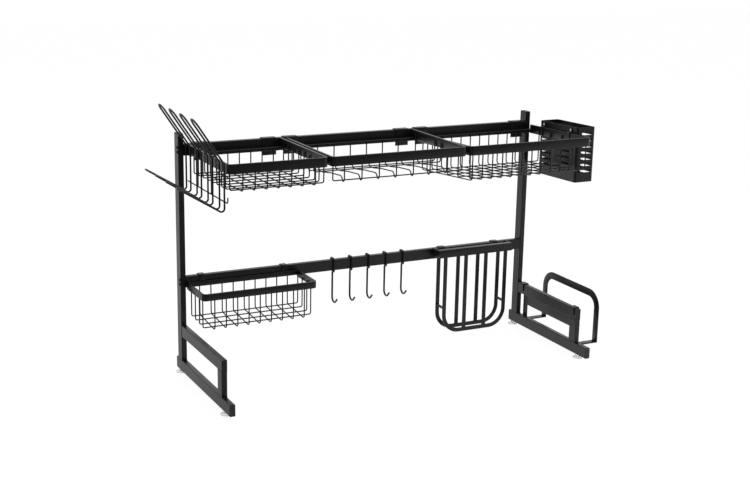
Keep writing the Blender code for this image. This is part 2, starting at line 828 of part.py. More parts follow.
def humped_cross_wire(basket, x, floor):
    """A cross wire that follows the humped floor."""
    front, back = basket.wire_front, basket.wire_back
    knots = [(x, y, z) for y, z in hump_knots(basket, MIDDLE_FLOOR)]
    start = [(x, front, basket.top - WIRE_WELD), knots[0], (x, back, floor(front))]
    points = softened(start, WIRE_BEND)[:-1] + knots[2:-1]
    points.append((x, back, floor(back) + WIRE_BEND))
    points.append((x, back, basket.rear_rise))
    return points


def add_basket(bench, basket, hooks, cross_wire, count, margins, shares, floor):
    """Hangs a basket on its rail. An upper basket's front long wire runs inside the cross wires' bends."""
    body = bench.body(f"{basket.name}_lift", ((basket.left + basket.right) / 2, 0, basket.rail_top))
    bench.put(f"{basket.name}_Rim", rim_mesh(bench, basket, hooks), "black_steel", body)
    wires = []
    for x in spread(basket.left + margins[0], basket.right - margins[1], count):
        wires.append(bench.wire(cross_wire(basket, x, floor), WIRE_RADIUS))
    places = [(basket.wire_front + nest(), floor(basket.wire_front) + nest())] if basket.lip else []
    for share in shares:
        y = basket.at(share)
        places.append((y, floor(y) + 2 * WIRE_RADIUS - WIRE_SINK))
    for y, z in places:
        wires.append(bench.wire(long_wire(basket, y, z), WIRE_RADIUS))
    cage = basket.drooped(bench.union(*wires))
    bench.put(f"{basket.name}_Cage", cage, "black_wire", body)
    return body


def upper_basket(name, left, right, droop=0):
    return Basket(
        name, left, right, BASKET_REACH, TOP_RAIL_TOP, 0, RIM_HIGH, CLIP_WIDTH, CLIP_TAIL, CLIP_LIP, droop
    )


def add_baskets(bench):
    """The three upper baskets and the lower one. Gives the bodies that carry a rack or a box."""
    inset = CLIP_INSET + CLIP_WIDTH / 2
    flush = CLIP_WIDTH / 2 - CLIP_OVERHANG
    left = upper_basket("Left_Basket", LEFT_BASKET_LEFT, LEFT_BASKET_RIGHT)
    middle = upper_basket("Middle_Basket", MIDDLE_BASKET_LEFT, MIDDLE_BASKET_RIGHT)
    right = upper_basket("Right_Basket", RIGHT_BASKET_LEFT, RIGHT_BASKET_RIGHT, RIGHT_DROOP)
    lower = Basket(
        "Lower_Basket", LOWER_LEFT, LOWER_RIGHT, LOWER_REACH, MID_RAIL_TOP,
        LOWER_RIM_DROP, LOWER_RIM_HIGH, TAB_WIDTH, TAB_TAIL, 0,
    )
    left_body = add_basket(
        bench, left, (left.left + inset, left.right - inset), plain_cross_wire,
        LEFT_WIRES, LEFT_MARGINS, LEFT_LONG_SHARES, left.floor(LEFT_FLOOR_FRONT, LEFT_FLOOR_BACK),
    )
    add_basket(
        bench, middle, (middle.left + flush, middle.right - inset), humped_cross_wire,
        MIDDLE_WIRES, MIDDLE_MARGINS, MIDDLE_LONG_SHARES, level_on(hump_knots(middle, MIDDLE_FLOOR)),
    )
    last_clip = POST_INNER - POST_CLIP_GAP - CLIP_WIDTH / 2
    right_body = add_basket(
        bench, right, (right.left + flush, last_clip), plain_cross_wire,
        RIGHT_WIRES, RIGHT_MARGINS, RIGHT_LONG_SHARES, right.floor(RIGHT_FLOOR_FRONT, RIGHT_FLOOR_BACK),
    )
    add_basket(
        bench, lower, (lower.left + TAB_INSET, lower.right - TAB_INSET), plain_cross_wire,
        LOWER_WIRES, LOWER_MARGINS, LOWER_LONG_SHARES, lower.floor(LOWER_FLOOR_FRONT, LOWER_FLOOR_BACK),
    )
    return left_body, right_body, right


# Plate rack

def plate_loop(rear, front):
    """One closed wire: a leaning top, a straight back and an arm that rises outward."""
    knee = TOP_RAIL_TOP - PLATE_VERTICAL
    profile = [
        (PLATE_X - PLATE_LEAN_OUT, TOP_RAIL_TOP + PLATE_LEAN_RISE),
        (PLATE_X, TOP_RAIL_TOP),
        (PLATE_X, knee),
        (PLATE_X - PLATE_ARM_OUT, knee + PLATE_ARM_RISE),
    ]
    turn = (rear - front) / 2 - SEAT
    corners = [(x, rear, z) for x, z in profile] + [(x, front, z) for x, z in profile[::-1]]
    radii = [turn, PLATE_BEND, PLATE_BEND, turn] * 2
    return softened(corners, radii, BEND_STEPS, closed=True)


def plate_strap(bench, y, low):
    """A sheet strap over the basket's left rim bar, down to this level outside it."""
    outside = LEFT_BASKET_LEFT - SEAT
    inside = LEFT_BASKET_LEFT + RIM_THICK + SEAT
    top = TOP_RAIL_TOP + SEAT
    path = [(outside, low), (outside, top), (inside, top), (inside, TOP_RAIL_TOP - PLATE_STRAP_TAIL)]
    outline = [(z, x) for x, z in strip(path, -PLATE_STRAP_SHEET)]
    return bench.flat([outline], y - PLATE_STRAP_WIDE / 2, y + PLATE_STRAP_WIDE / 2, "ZX")


def add_plate_rack(bench, left_body):
    rear = -PLATE_REAR_INSET - PLATE_WIRE
    front = BASKET_FRONT + PLATE_FRONT_INSET
    body = bench.body("Plate_Rack_lift", (PLATE_X, (rear + front) / 2, TOP_RAIL_TOP), left_body)
    half = PLATE_LOOP_WIDE / 2
    for i, y in enumerate(spread(rear - half, front + half, PLATE_LOOP_COUNT)):
        mesh = bench.wire(plate_loop(y + half, y - half), PLATE_WIRE, cyclic=True)
        bench.put(f"Plate_Rack_Loop_{i + 1}", mesh, "black_wire", body)

    x = PLATE_X + PLATE_WIRE + SEAT + WIRE_RADIUS
    level = TOP_RAIL_TOP - PLATE_VERTICAL + PLATE_CROSS_RISE
    low = TOP_RAIL_TOP - RIM_HIGH - PLATE_STRAP_DROP
    turned_up = BASKET_FRONT + PLATE_WIRE
    corners = [(x, rear, level), (x, turned_up, level), (x, turned_up, level + PLATE_CROSS_TIP)]
    long_path = softened(corners, PLATE_BEND)
    pieces = [bench.wire(long_path, WIRE_RADIUS)]
    for share in PLATE_STRAP_SHARES:
        y = rear + (front - rear) * share
        pieces.append(plate_strap(bench, y, low))
        ends = [(x, y, level - WIRE_SINK), (x, y, low + PLATE_STRAP_LAP)]
        pieces.append(bench.wire(ends, WIRE_RADIUS))
    bench.put("Plate_Rack_Support", bench.union(*pieces), "black_steel", body)


# Utensil box

def slot(middle, level, length):
    """A slot's outline with rounded ends."""
    end = SLOT_HIGH / 2
    return rectangle(middle - length / 2, level - end, middle + length / 2, level + end, end - SEAT, 1)


def box_shell(bench):
    """The sheet box: open at the top, with rows of slots. The near wall has no slots beside its hooks."""
    rear = -BOX_REAR_INSET
    front = rear - BOX_DEEP
    right = BOX_LEFT + BOX_WIDE
    bottom = BOX_TOP - BOX_HIGH
    outer = rectangle(BOX_LEFT, front, right, rear, BOX_RADIUS)
    inner = rectangle(
        BOX_LEFT + BOX_WALL, front + BOX_WALL, right - BOX_WALL, rear - BOX_WALL, BOX_RADIUS - BOX_WALL
    )
    shell = bench.flat([outer], bottom, BOX_TOP, "XY")
    cutters = [bench.flat([inner], bottom + BOX_WALL, BOX_TOP + OVERRUN, "XY")]
    middle = (BOX_LEFT + right) / 2
    for row in range(SLOT_ROWS):
        level = BOX_TOP - SLOT_TOP - SLOT_PITCH * row
        for inset in SIDE_SLOT_INSETS:
            if row:
                near = slot(rear - inset, level, SIDE_SLOT)
                cutters.append(bench.flat([near], BOX_LEFT - OVERRUN, middle, "YZ"))
            far = slot(front + inset, level - SLOT_PITCH / 2, SIDE_SLOT)
            cutters.append(bench.flat([far], middle, right + OVERRUN, "YZ"))
        outline = [(z, x) for x, z in slot(middle, level, FRONT_SLOT)]
        cutters.append(bench.flat([outline], front - OVERRUN, rear + OVERRUN, "ZX"))
    return bench.cut(shell, *cutters, *rivet_holes())


def rivet_places():
    """Where the rivets join the hooks to the box, above the basket's rim bar (Y, Z)."""
    rear = -BOX_REAR_INSET - REAR_RIVET_INSET
    front = -BOX_REAR_INSET - BOX_DEEP + FRONT_RIVET_INSET
    level = TOP_RAIL_TOP + HOOK_PLATE_SHEET + RIVET_HEAD + 3 * SEAT
    return [(rear, level), (front, level)]


def rivet_holes():
    """Cutters for the rivets through the hooks and the box's near wall."""
    length = BOX_LEFT + OVERRUN - RIVET_X
    middle = (BOX_LEFT + OVERRUN + RIVET_X) / 2
    holes = []
    for y, z in rivet_places():
        holes.append(moved(pin_mesh(RIVET_SHANK + SLIP, length + OVERRUN), (middle, y, z), ALONG_X))
    return holes


def box_hook(bench, y):
    """A narrow sheet hook over the basket's right rim bar that turns up beside the box."""
    inside = RIGHT_BASKET_RIGHT - RIM_THICK - SEAT
    outside = BOX_LEFT - SEAT
    path = [
        (inside, TOP_RAIL_TOP - HOOK_PLATE_DROP),
        (inside, TOP_RAIL_TOP + SEAT),
        (outside, TOP_RAIL_TOP + SEAT),
        (outside, TOP_RAIL_TOP + BOX_HOOK_RISE),
    ]
    outline = [(z, x) for x, z in strip(path, -HOOK_PLATE_SHEET)]
    plate = bench.flat([outline], y - BOX_HOOK_WIDE / 2, y + BOX_HOOK_WIDE / 2, "ZX")
    return bench.cut(plate, *rivet_holes())


def rivet_mesh(bench):
    """A rivet along Z: its head's underside is at Z = 0 and its shank runs down to the box's wall."""
    reach = BOX_LEFT + BOX_WALL - RIVET_X
    profile = [
        (0, RIVET_HEAD_HIGH),
        (RIVET_HEAD * DOME_SHARES[0], RIVET_HEAD_HIGH),
        (RIVET_HEAD * DOME_SHARES[1], RIVET_HEAD_HIGH * DOME_SHARES[2]),
        (RIVET_HEAD, SEAT),
        (RIVET_SHANK, SEAT),
        (RIVET_SHANK, -reach),
        (0, -reach),
    ]
    return bench.turned(profile, PIN_STEPS)


def add_utensil_box(bench, right_body, basket):
    middle = -BOX_REAR_INSET - BOX_DEEP / 2
    body = bench.body("Utensil_Box_lift", (RIGHT_BASKET_RIGHT, middle, TOP_RAIL_TOP), right_body)
    bench.put("Utensil_Box", basket.drooped(box_shell(bench)), "black_steel", body)
    for end, (y, z) in zip(("Rear", "Front"), rivet_places()):
        bench.put(f"Utensil_Box_Hook_{end}", basket.drooped(box_hook(bench, y)), "black_steel", body)
        mesh = moved(rivet_mesh(bench), (RIVET_X, y, z), AGAINST_X)
        bench.put(f"Utensil_Box_Rivet_{end}", basket.drooped(mesh), "rivet_steel", body)


# Loose hooks

def add_hooks(bench):
    """S-hooks on the mid rail, between the lower basket and the board holder."""
    radius = HOOK_WIRE
    front = -SEAT - radius
    middle = TUBE_THIN / 2
    back = TUBE_THIN + SEAT + radius
    top = MID_RAIL_TOP + SEAT + radius
    under = MID_RAIL_TOP - TUBE_WIDE - SEAT - radius
    level = HOOK_BOTTOM + HOOK_CURL + radius
    first, last = LOWER_RIGHT + HOOK_LEFT_MARGIN, BOARD_LEFT - HOOK_RIGHT_MARGIN
    for i, x in enumerate(spread(first, last, HOOK_COUNT)):
        corners = [(x, back, MID_RAIL_TOP - HOOK_TAIL), (x, back, top), (x, front, top)]
        corners += [(x, front, under), (x, middle, under), (x, middle, level)]
        bends = [0, HOOK_BEND, HOOK_BEND, HOOK_JOG_BEND, HOOK_JOG_BEND, 0]
        path = softened(corners, bends)
        for step in range(1, CURL_STEPS + 1):
            angle = CURL_TURN * step / CURL_STEPS
            y = middle - HOOK_CURL + HOOK_CURL * cos(angle)
            path.append((x, y, level - HOOK_CURL * sin(angle)))
        end = path[-1]
        path.append((x, end[1] - HOOK_TIP * sin(CURL_TURN), end[2] - HOOK_TIP * cos(CURL_TURN)))
        body = bench.body(f"S_Hook_{i + 1}_slide", (x, middle, MID_RAIL_TOP))
        bench.put(f"S_Hook_{i + 1}", bench.wire(path, radius), "black_wire", body)


# Board holder

def comb_outline(top, shares):
    """A U of flat bar with two more uprights, seen from the front."""
    left = BOARD_LEFT + BOARD_LOOP_INSET
    right = BOARD_RIGHT - BOARD_LOOP_INSET
    floor = BOARD_CLEARANCE + BOARD_FLAT
    inner = BOARD_RADIUS - BOARD_FLAT
    corners = [(left, top, 0), (left, BOARD_CLEARANCE, BOARD_RADIUS), (right, BOARD_CLEARANCE, BOARD_RADIUS)]
    corners += [(right, top, 0), (right - BOARD_FLAT, top, 0), (right - BOARD_FLAT, floor, inner)]
    for share in shares[::-1]:
        x = left + (right - left) * share
        for edge in (x + BOARD_FLAT / 2, x - BOARD_FLAT / 2):
            rows = [(edge, floor, 0), (edge, top, 0)]
            corners += rows if edge > x else rows[::-1]
    corners += [(left + BOARD_FLAT, floor, inner), (left + BOARD_FLAT, top, 0)]
    return softened([(x, z) for x, z, _ in corners], [r for _, _, r in corners], 2 * BEND_STEPS, closed=True)


def board_loop(bench, top, y, shares):
    """A comb whose front face is at this Y."""
    outline = [(z, x) for x, z in comb_outline(top, shares)]
    return bench.flat([outline], y, y + BOARD_SHEET, "ZX")


def add_board_holder(bench):
    """Two combs of flat bar that hold boards on edge, hung from the mid rail by a top frame."""
    middle = (BOARD_LEFT + BOARD_RIGHT) / 2
    body = bench.body("Board_Holder_lift", (middle, 0, MID_RAIL_TOP))
    top = MID_RAIL_TOP + BOARD_TOP_RISE
    low = top - BOARD_BAR_HIGH
    back = -SEAT
    front = -BOARD_DEPTH - BOARD_SHEET
    lap = BOARD_SHEET / 2
    pieces = [
        box_mesh((BOARD_LEFT, front, low), (BOARD_RIGHT, front + BOARD_BAR_DEEP, top)),
        box_mesh((BOARD_LEFT, back - BOARD_SHEET, low), (BOARD_RIGHT, back, MID_RAIL_TOP)),
    ]
    for x in (BOARD_LEFT, BOARD_RIGHT - BOARD_SHEET):
        start, end = front + BOARD_BAR_DEEP - lap, back - BOARD_SHEET + lap
        pieces.append(box_mesh((x, start, low), (x + BOARD_SHEET, end, top)))
    outline = hook_outline(MID_RAIL_TOP, low + lap, BOARD_TAB_TAIL, CLIP_SHEET)
    for x in (BOARD_LEFT + BOARD_TAB_INSET, BOARD_RIGHT - BOARD_TAB_INSET):
        pieces.append(bench.flat([outline], x - BOARD_TAB_WIDE / 2, x + BOARD_TAB_WIDE / 2, "YZ"))
    bench.put("Board_Holder_Top_Frame", bench.union(*pieces), "black_steel", body)

    rear_loop = back - BOARD_SHEET - SEAT
    front_loop = front
    for side, y, shares in (
        ("Rear", rear_loop, BOARD_REAR_SHARES), ("Front", front_loop, BOARD_FRONT_SHARES)
    ):
        mesh = board_loop(bench, low - SEAT, y, shares)
        bench.put(f"Board_Holder_{side}_Loop", mesh, "black_steel", body)
    start, end = front_loop + BOARD_SHEET + SEAT, rear_loop - SEAT
    inset = BOARD_LOOP_INSET + BOARD_FLAT / 2
    for side, x in (("Left", BOARD_LEFT + inset), ("Right", BOARD_RIGHT - inset)):
        pin = pin_mesh(BOARD_SPACER, end - start)
        place = (x, (start + end) / 2, BOARD_SPACER_LEVEL)
        mesh = moved(pin, place, Matrix.Rotation(pi / 2, 4, "X"))
        bench.put(f"Board_Holder_Spacer_{side}", mesh, "black_steel", body)


# Lid holder

def add_lid_holder(bench):
    """A tall loop of flat bar beside the right leg, hooked over the leg's side bar."""
    rear = -LID_REAR_INSET
    front = rear - LID_WIDTH
    near = POST_OUTER + SEAT
    body = bench.body("Lid_Holder_lift", (POST_OUTER, (rear + front) / 2, SIDE_BAR_TOP))
    arch = softened([(rear, LID_BOTTOM), (rear, LID_TOP), (front, LID_TOP), (front, LID_BOTTOM)],
                    [0, LID_RADIUS, LID_RADIUS, 0], 2 * BEND_STEPS)
    pieces = [bench.flat([strip(arch, -LID_FLAT)], LID_OUTER - LID_SHEET, LID_OUTER, "YZ")]
    start = near + LID_HOOK_SHEET + SEAT
    for y in (rear - LID_FLAT, front):
        low_corner = (start, y + SEAT, LID_BOTTOM + SEAT)
        high_corner = (LID_OUTER - LID_SHEET / 2, y + LID_FLAT - SEAT, LID_BOTTOM + LID_SHEET)
        pieces.append(box_mesh(low_corner, high_corner))
    bench.put("Lid_Holder_Loop", bench.union(*pieces), "black_steel", body)

    inner = POST_INNER - SEAT
    top = SIDE_BAR_TOP + SEAT
    path = [(near, LID_BOTTOM), (near, top), (inner, top), (inner, SIDE_BAR_TOP - LID_TAIL)]
    outline = [(z, x) for x, z in strip(path, LID_HOOK_SHEET)]
    for end, y in (("Rear", rear - LID_FLAT), ("Front", front)):
        mesh = bench.flat([outline], y, y + LID_FLAT, "ZX")
        bench.put(f"Lid_Holder_Hook_{end}", mesh, "black_steel", body)
    bar = box_mesh(
        (near, front + LID_FLAT + SEAT, LID_CROSS_LEVEL),
        (near + LID_SHEET, rear - LID_FLAT - SEAT, LID_CROSS_LEVEL + LID_CROSS_HIGH),
    )
    bench.put("Lid_Holder_Crossbar", bar, "black_steel", body)


def main():
    clear_scene()
    bench = Bench()
    for side, sign in (("Left", -1), ("Right", 1)):
        add_leg(bench, side, sign)
    add_rail(bench, "Top_Rail", TOP_RAIL_TOP)
    add_rail(bench, "Mid_Rail", MID_RAIL_TOP)
    add_bolts(bench)
    left_body, right_body, right = add_baskets(bench)
    add_plate_rack(bench, left_body)
    add_utensil_box(bench, right_body, right)
    add_hooks(bench)
    add_board_holder(bench)
    add_lid_holder(bench)


main()
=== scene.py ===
from contextlib import contextmanager
from math import cos, pi, radians, sin, tan

import bmesh
import bpy
from bpy.props import FloatProperty, FloatVectorProperty, IntProperty, PointerProperty
from mathutils import Matrix, Vector


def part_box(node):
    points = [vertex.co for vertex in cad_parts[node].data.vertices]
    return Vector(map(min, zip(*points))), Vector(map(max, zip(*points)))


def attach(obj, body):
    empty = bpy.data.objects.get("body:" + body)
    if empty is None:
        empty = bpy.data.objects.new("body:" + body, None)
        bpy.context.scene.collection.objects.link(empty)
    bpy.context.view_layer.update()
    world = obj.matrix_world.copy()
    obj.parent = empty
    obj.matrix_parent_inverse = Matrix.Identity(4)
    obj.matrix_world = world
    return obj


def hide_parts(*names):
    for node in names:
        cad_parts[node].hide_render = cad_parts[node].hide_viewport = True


bl_info = {
    "name": "Over-sink dish rack",
    "version": (1, 0, 0),
    "blender": (4, 5, 0),
    "location": "3D View > Sidebar > Dish Rack",
    "description": "Dresses the packed dish rack with round wires, rolled edges and powder-coated finishes",
    "category": "Object",
}

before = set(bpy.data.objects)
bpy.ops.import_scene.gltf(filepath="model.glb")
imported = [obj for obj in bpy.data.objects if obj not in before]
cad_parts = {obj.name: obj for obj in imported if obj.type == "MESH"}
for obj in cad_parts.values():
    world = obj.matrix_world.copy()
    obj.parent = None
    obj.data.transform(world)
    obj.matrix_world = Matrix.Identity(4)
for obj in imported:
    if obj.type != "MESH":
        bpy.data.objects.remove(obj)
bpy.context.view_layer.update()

# Sizes of the rack's own parts, in metres, as in the part's source. X is from the middle between the posts,
# Y from the posts' front faces and Z from the base rails' undersides
POST_OUTER = 0.433
POST_INNER = 0.421
TUBE_WIDE = 0.025
TUBE_THIN = 0.012
TUBE_CORNER = 0.0015
TUBE_EDGE = 0.0003
SEAT = 0.0003
OVERRUN = 0.002
BASE_FRONT = -0.2875
UPRIGHT_FRONT = -0.244
SIDE_BAR_TOP = 0.1045
TOP_RAIL_TOP = 0.498
MID_RAIL_TOP = 0.2125

# Caps, bolts and feet
CAP_BORDER = 0.0012
CAP_CROWN = 0.00025
CAP_EDGE = 0.0004
BOLT_HEAD = 0.0037
BOLT_HEAD_HIGH = 0.0022
BOLT_CROWN = 0.0016
BOLT_SPREAD = 0.0095
SOCKET_RADIUS = 0.0014
SOCKET_HIGH = 0.0024
FOOT_HEIGHT = 0.008
FOOT_RADIUS = 0.012
FOOT_NECK = 0.005
FRONT_FOOT_INSET = 0.037
REAR_FOOT_Y = 0.023

# Baskets: rims of flat bar on sheet clips, with wire cages below
LEFT_BASKET_LEFT = -0.414
LEFT_BASKET_RIGHT = -0.200
MIDDLE_BASKET_LEFT = -0.1935
MIDDLE_BASKET_RIGHT = 0.1205
RIGHT_BASKET_LEFT = 0.127
RIGHT_BASKET_RIGHT = 0.437
RIGHT_DROOP = 0.0085
BASKET_FRONT = -0.240
LOWER_LEFT = -0.420
LOWER_RIGHT = -0.160
LOWER_FRONT = -0.103
LOWER_RIM_DROP = 0.013
LOWER_RIM_HIGH = 0.015
RIM_HIGH = 0.020
RIM_THICK = 0.005
RIM_RADIUS = 0.010
RIM_EDGE = 0.0008
STRIP_DEEP = 0.012
STRIP_HIGH = 0.0075
STRIP_LAP_SHARE = 0.34
STRIP_CORNER = 0.0009
BAR_DEEP = 0.0032
BAR_HIGH = 0.0105
CLIP_SHEET = 0.0015
CLIP_WIDTH = 0.032
CLIP_INSET = 0.014
CLIP_OVERHANG = 0.0025
CLIP_LIP = 0.011
CLIP_TAIL = 0.016
POST_CLIP_GAP = 0.0095
TAB_WIDTH = 0.013
TAB_INSET = 0.0345
TAB_TAIL = 0.014
SHEET_BEND = 0.0006
SHEET_EDGE = 0.0003
WIRE_BEND = 0.007
SIDE_BEND = 0.004
WIRE_SINK = 0.0007
WIRE_WELD = 0.008

# How far the cross wires stand from a rim's sides, where the long wires lie from its back to its front, and
# how far its floor hangs below its top at the front and at the back
LEFT_MARGINS = (0.0328, 0.0265)
LEFT_LONG_SHARES = (0.04, 0.163, 0.287, 0.411, 0.535, 0.659, 0.783, 0.879)
LEFT_FLOOR = (0.0565, 0.0615)
MIDDLE_MARGINS = (0.031, 0.046)
MIDDLE_LONG_SHARES = (0.04, 0.44, 0.56)
MIDDLE_FLOOR = 0.0545
RIGHT_MARGINS = (0.0108, 0.0265)
RIGHT_LONG_SHARES = (0.134, 0.34, 0.549, 0.757)
RIGHT_FLOOR = (0.0745, 0.084)
LOWER_MARGINS = (0.0281, 0.0281)
LOWER_LONG_SHARES = (0.089, 0.349, 0.619, 0.846)
LOWER_FLOOR = (0.0815, 0.0745)

# The middle floor's swellings
HUMP_HIGH = 0.010
HUMP_RUN = 0.010
HUMP_BEND = 0.004
HUMP_SHARES = (0.7, 0.65, 0.12)
HUMP_END_SHARE = 0.82
MIDDLE_DIP_SHARE = 0.44

# Plate rack
PLATE_REAR_INSET = 0.004
PLATE_FRONT_INSET = 0.011
PLATE_LOOP_WIDE = 0.027
PLATE_VERTICAL = 0.099
PLATE_LEAN_RISE = 0.088
PLATE_LEAN_OUT = 0.059
PLATE_ARM_RISE = 0.055
PLATE_ARM_OUT = 0.0906
PLATE_BEND = 0.006
PLATE_CROSS_RISE = 0.022
PLATE_CROSS_TIP = 0.012
PLATE_STRAP_SHEET = 0.0015
PLATE_STRAP_WIDE = 0.009
PLATE_STRAP_DROP = 0.036
PLATE_STRAP_TAIL = 0.006
PLATE_STRAP_LAP = 0.003
PLATE_STRAP_SHARES = (0.28, 0.63)
PLATE_X = LEFT_BASKET_LEFT - 2 * SEAT - PLATE_STRAP_SHEET - 0.0019

# Utensil box
BOX_WIDE = 0.049
BOX_DEEP = 0.1485
BOX_HIGH = 0.125
BOX_WALL = 0.001
BOX_RADIUS = 0.005
BOX_EDGE = 0.0002
BOX_REAR = -0.034
BOX_FRONT = BOX_REAR - BOX_DEEP
BOX_TOP = 0.5115
SLOT_HIGH = 0.0052
SLOT_PITCH = 0.0142
SLOT_TOP = 0.0148
SIDE_SLOT = 0.044
SIDE_SLOT_INSETS = (0.028, 0.100)
FRONT_SLOT = 0.037
HOOK_PLATE_SHEET = 0.0015
HOOK_PLATE_DROP = 0.020
BOX_HOOK_WIDE = 0.009
BOX_HOOK_RISE = 0.0105
BOX_HOOK_BEND = 0.0021
BOX_LEFT = RIGHT_BASKET_RIGHT + HOOK_PLATE_SHEET + 2 * SEAT
RIVET_HEAD = 0.0035
RIVET_HEAD_HIGH = 0.0015
RIVET_SHANK = 0.0015
REAR_RIVET_INSET = 0.0181
FRONT_RIVET_INSET = 0.0235

# Loose hooks on the middle rail
HOOK_COUNT = 5
HOOK_LEFT = -0.074
HOOK_RIGHT = 0.102
HOOK_BOTTOM = 0.1125
HOOK_CURL = 0.011
HOOK_TURN = radians(135)
HOOK_TIP = 0.0095
HOOK_TAIL = 0.012
HOOK_BENDS = (0, 0.0035, 0.0035, 0.0025, 0.0025, 0)

# Board holder and lid holder
BOARD_LEFT = 0.179
BOARD_RIGHT = 0.376
BOARD_FRONT = -0.036
BOARD_BAR_DEEP = 0.013
BOARD_BAR_HIGH = 0.0185
BOARD_TOP_RISE = 0.003
BOARD_FLAT = 0.0095
BOARD_SHEET = 0.003
BOARD_CLEARANCE = 0.013
BOARD_LOOP_INSET = 0.0125
BOARD_RADIUS = 0.045
BOARD_SPACER_LEVEL = 0.0745
BOARD_SPACER = 0.0035
BOARD_TAB_WIDE = 0.0155
BOARD_TAB_INSET = 0.0265
BOARD_TAB_TAIL = 0.016
BOARD_REAR_SHARES = (0.335, 0.646)
BOARD_FRONT_SHARES = (0.346, 0.66)
LID_OUTER = 0.4913
LID_REAR = -0.009
LID_FRONT = -0.2355
LID_FLAT = 0.017
LID_SHEET = 0.003
LID_HOOK_SHEET = 0.002
LID_HOOK_EDGE = 0.0004
LID_TOP = 0.133
LID_BOTTOM = 0.013
LID_RADIUS = 0.040
LID_TAIL = 0.016

SIDES = (("Left", -1), ("Right", 1))

# Steps of round shapes, the radius at a spun shape's axis, and how squarely a picked face looks one way
ARC_STEPS = 8
CURL_STEPS = 20
WIRE_SIDES = 12
AXIS = 0.0001
FACING = 0.9

# The photograph's camera, as the legs, posts and rails gave it
CAMERA_PLACE = (-1.3090, -2.6111, 1.0031)
CAMERA_YAW = radians(-27.143)
CAMERA_PITCH = radians(14.860)
CAMERA_ROLL = radians(1.150)
CAMERA_LENS = 64.1


def origin():
    """Where the sizes above are measured from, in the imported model."""
    low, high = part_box("Top_Rail")
    return Vector(((low.x + high.x) / 2, low.y, high.z - TOP_RAIL_TOP))


ORIGIN = origin()


# Modelling by hand, in code

def choose(*items):
    bpy.ops.object.select_all(action="DESELECT")
    for item in items:
        item.select_set(True)
    bpy.context.view_layer.objects.active = items[0]


@contextmanager
def shaping(item, mode="FACE"):
    """Edit mode on one piece, with nothing selected."""
    choose(item)
    bpy.ops.object.mode_set(mode="EDIT")
    bpy.ops.mesh.select_mode(type=mode)
    bpy.ops.mesh.select_all(action="DESELECT")
    yield bmesh.from_edit_mesh(item.data)
    bpy.ops.object.mode_set(mode="OBJECT")


def pick(item, work, parts, test):
    """Selects the faces or edges that pass the test."""
    for part in parts:
        part.select_set(bool(test(part)))
    work.select_flush_mode()
    bmesh.update_edit_mesh(item.data)


def modified(item, kind, **settings):
    """The piece with one modifier applied."""
    choose(item)
    made = item.modifiers.new(kind.title(), kind)
    for name, value in settings.items():
        setattr(made, name, value)
    bpy.ops.object.modifier_apply(modifier=made.name)
    return item


def rolled(item, width, segments=3, degrees=30, **settings):
    """The piece with its sharp edges rounded."""
    return modified(item, "BEVEL", width=width, segments=segments, limit_method="ANGLE",
                    angle_limit=radians(degrees), **settings)


def linked(item):
    bpy.context.scene.collection.objects.link(item)
    return item


def joined(name, *items):
    choose(*items)
    if len(items) > 1:
        bpy.ops.object.join()
    items[0].name = name
    items[0].data.name = name
    return items[0]


def turned_outward(item, within=1e-6):
    with shaping(item):
        bpy.ops.mesh.select_all(action="SELECT")
        bpy.ops.mesh.remove_doubles(threshold=within)
        bpy.ops.mesh.normals_make_consistent(inside=False)
    return item


def added(name, primitive, **settings):
    """A new primitive with this name."""
    bpy.ops.object.select_all(action="DESELECT")
    primitive(**settings)
    item = bpy.context.object
    item.name = item.data.name = name
    return item


def ring_of(name, count, fill):
    """A circle whose points are put in place afterwards."""
    return added(name, bpy.ops.mesh.primitive_circle_add, vertices=count, fill_type=fill, location=(0, 0, 0))


def block(name, low, high):
    """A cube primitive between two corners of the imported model."""
    low, high = Vector(low), Vector(high)
    item = added(name, bpy.ops.mesh.primitive_cube_add, size=1, location=(low + high) / 2)
    with shaping(item):
        bpy.ops.mesh.select_all(action="SELECT")
        bpy.ops.transform.resize(value=high - low)
    bpy.ops.object.transform_apply(location=True, rotation=True, scale=True)
    return item


def bar(name, low, high, along, corner, segments=4):
    """A block whose long edges are rounded: along is the axis that they follow, 0 to 2."""
    item = block(name, low, high)

    def long_edge(edge):
        run = edge.verts[1].co - edge.verts[0].co
        return abs(run[along]) > run.length / 2

    with shaping(item, "EDGE") as work:
        pick(item, work, work.edges, long_edge)
        bpy.ops.mesh.bevel(offset=corner, segments=segments, affect="EDGES")
    return item


# Local X, Y and Z of a flat outline mapped to the frame's axes
PLANES = {
    "XY": Matrix(((1, 0, 0), (0, 1, 0), (0, 0, 1))),
    "YZ": Matrix(((0, 0, 1), (1, 0, 0), (0, 1, 0))),
    "ZX": Matrix(((0, 1, 0), (0, 0, 1), (1, 0, 0))),
}


def plate(name, outline, low, high, plane):
    """A filled outline extruded from low to high along the plane's normal."""
    turn = PLANES[plane]
    item = ring_of(name, len(outline), "NGON")
    for vertex, (u, v) in zip(item.data.vertices, outline):
        vertex.co = turn @ Vector((u, v, low)) + ORIGIN
    with shaping(item):
        bpy.ops.mesh.select_all(action="SELECT")
        rise = turn @ Vector((0, 0, high - low))
        bpy.ops.mesh.extrude_region_move(TRANSFORM_OT_translate={"value": rise})
    return turned_outward(item)


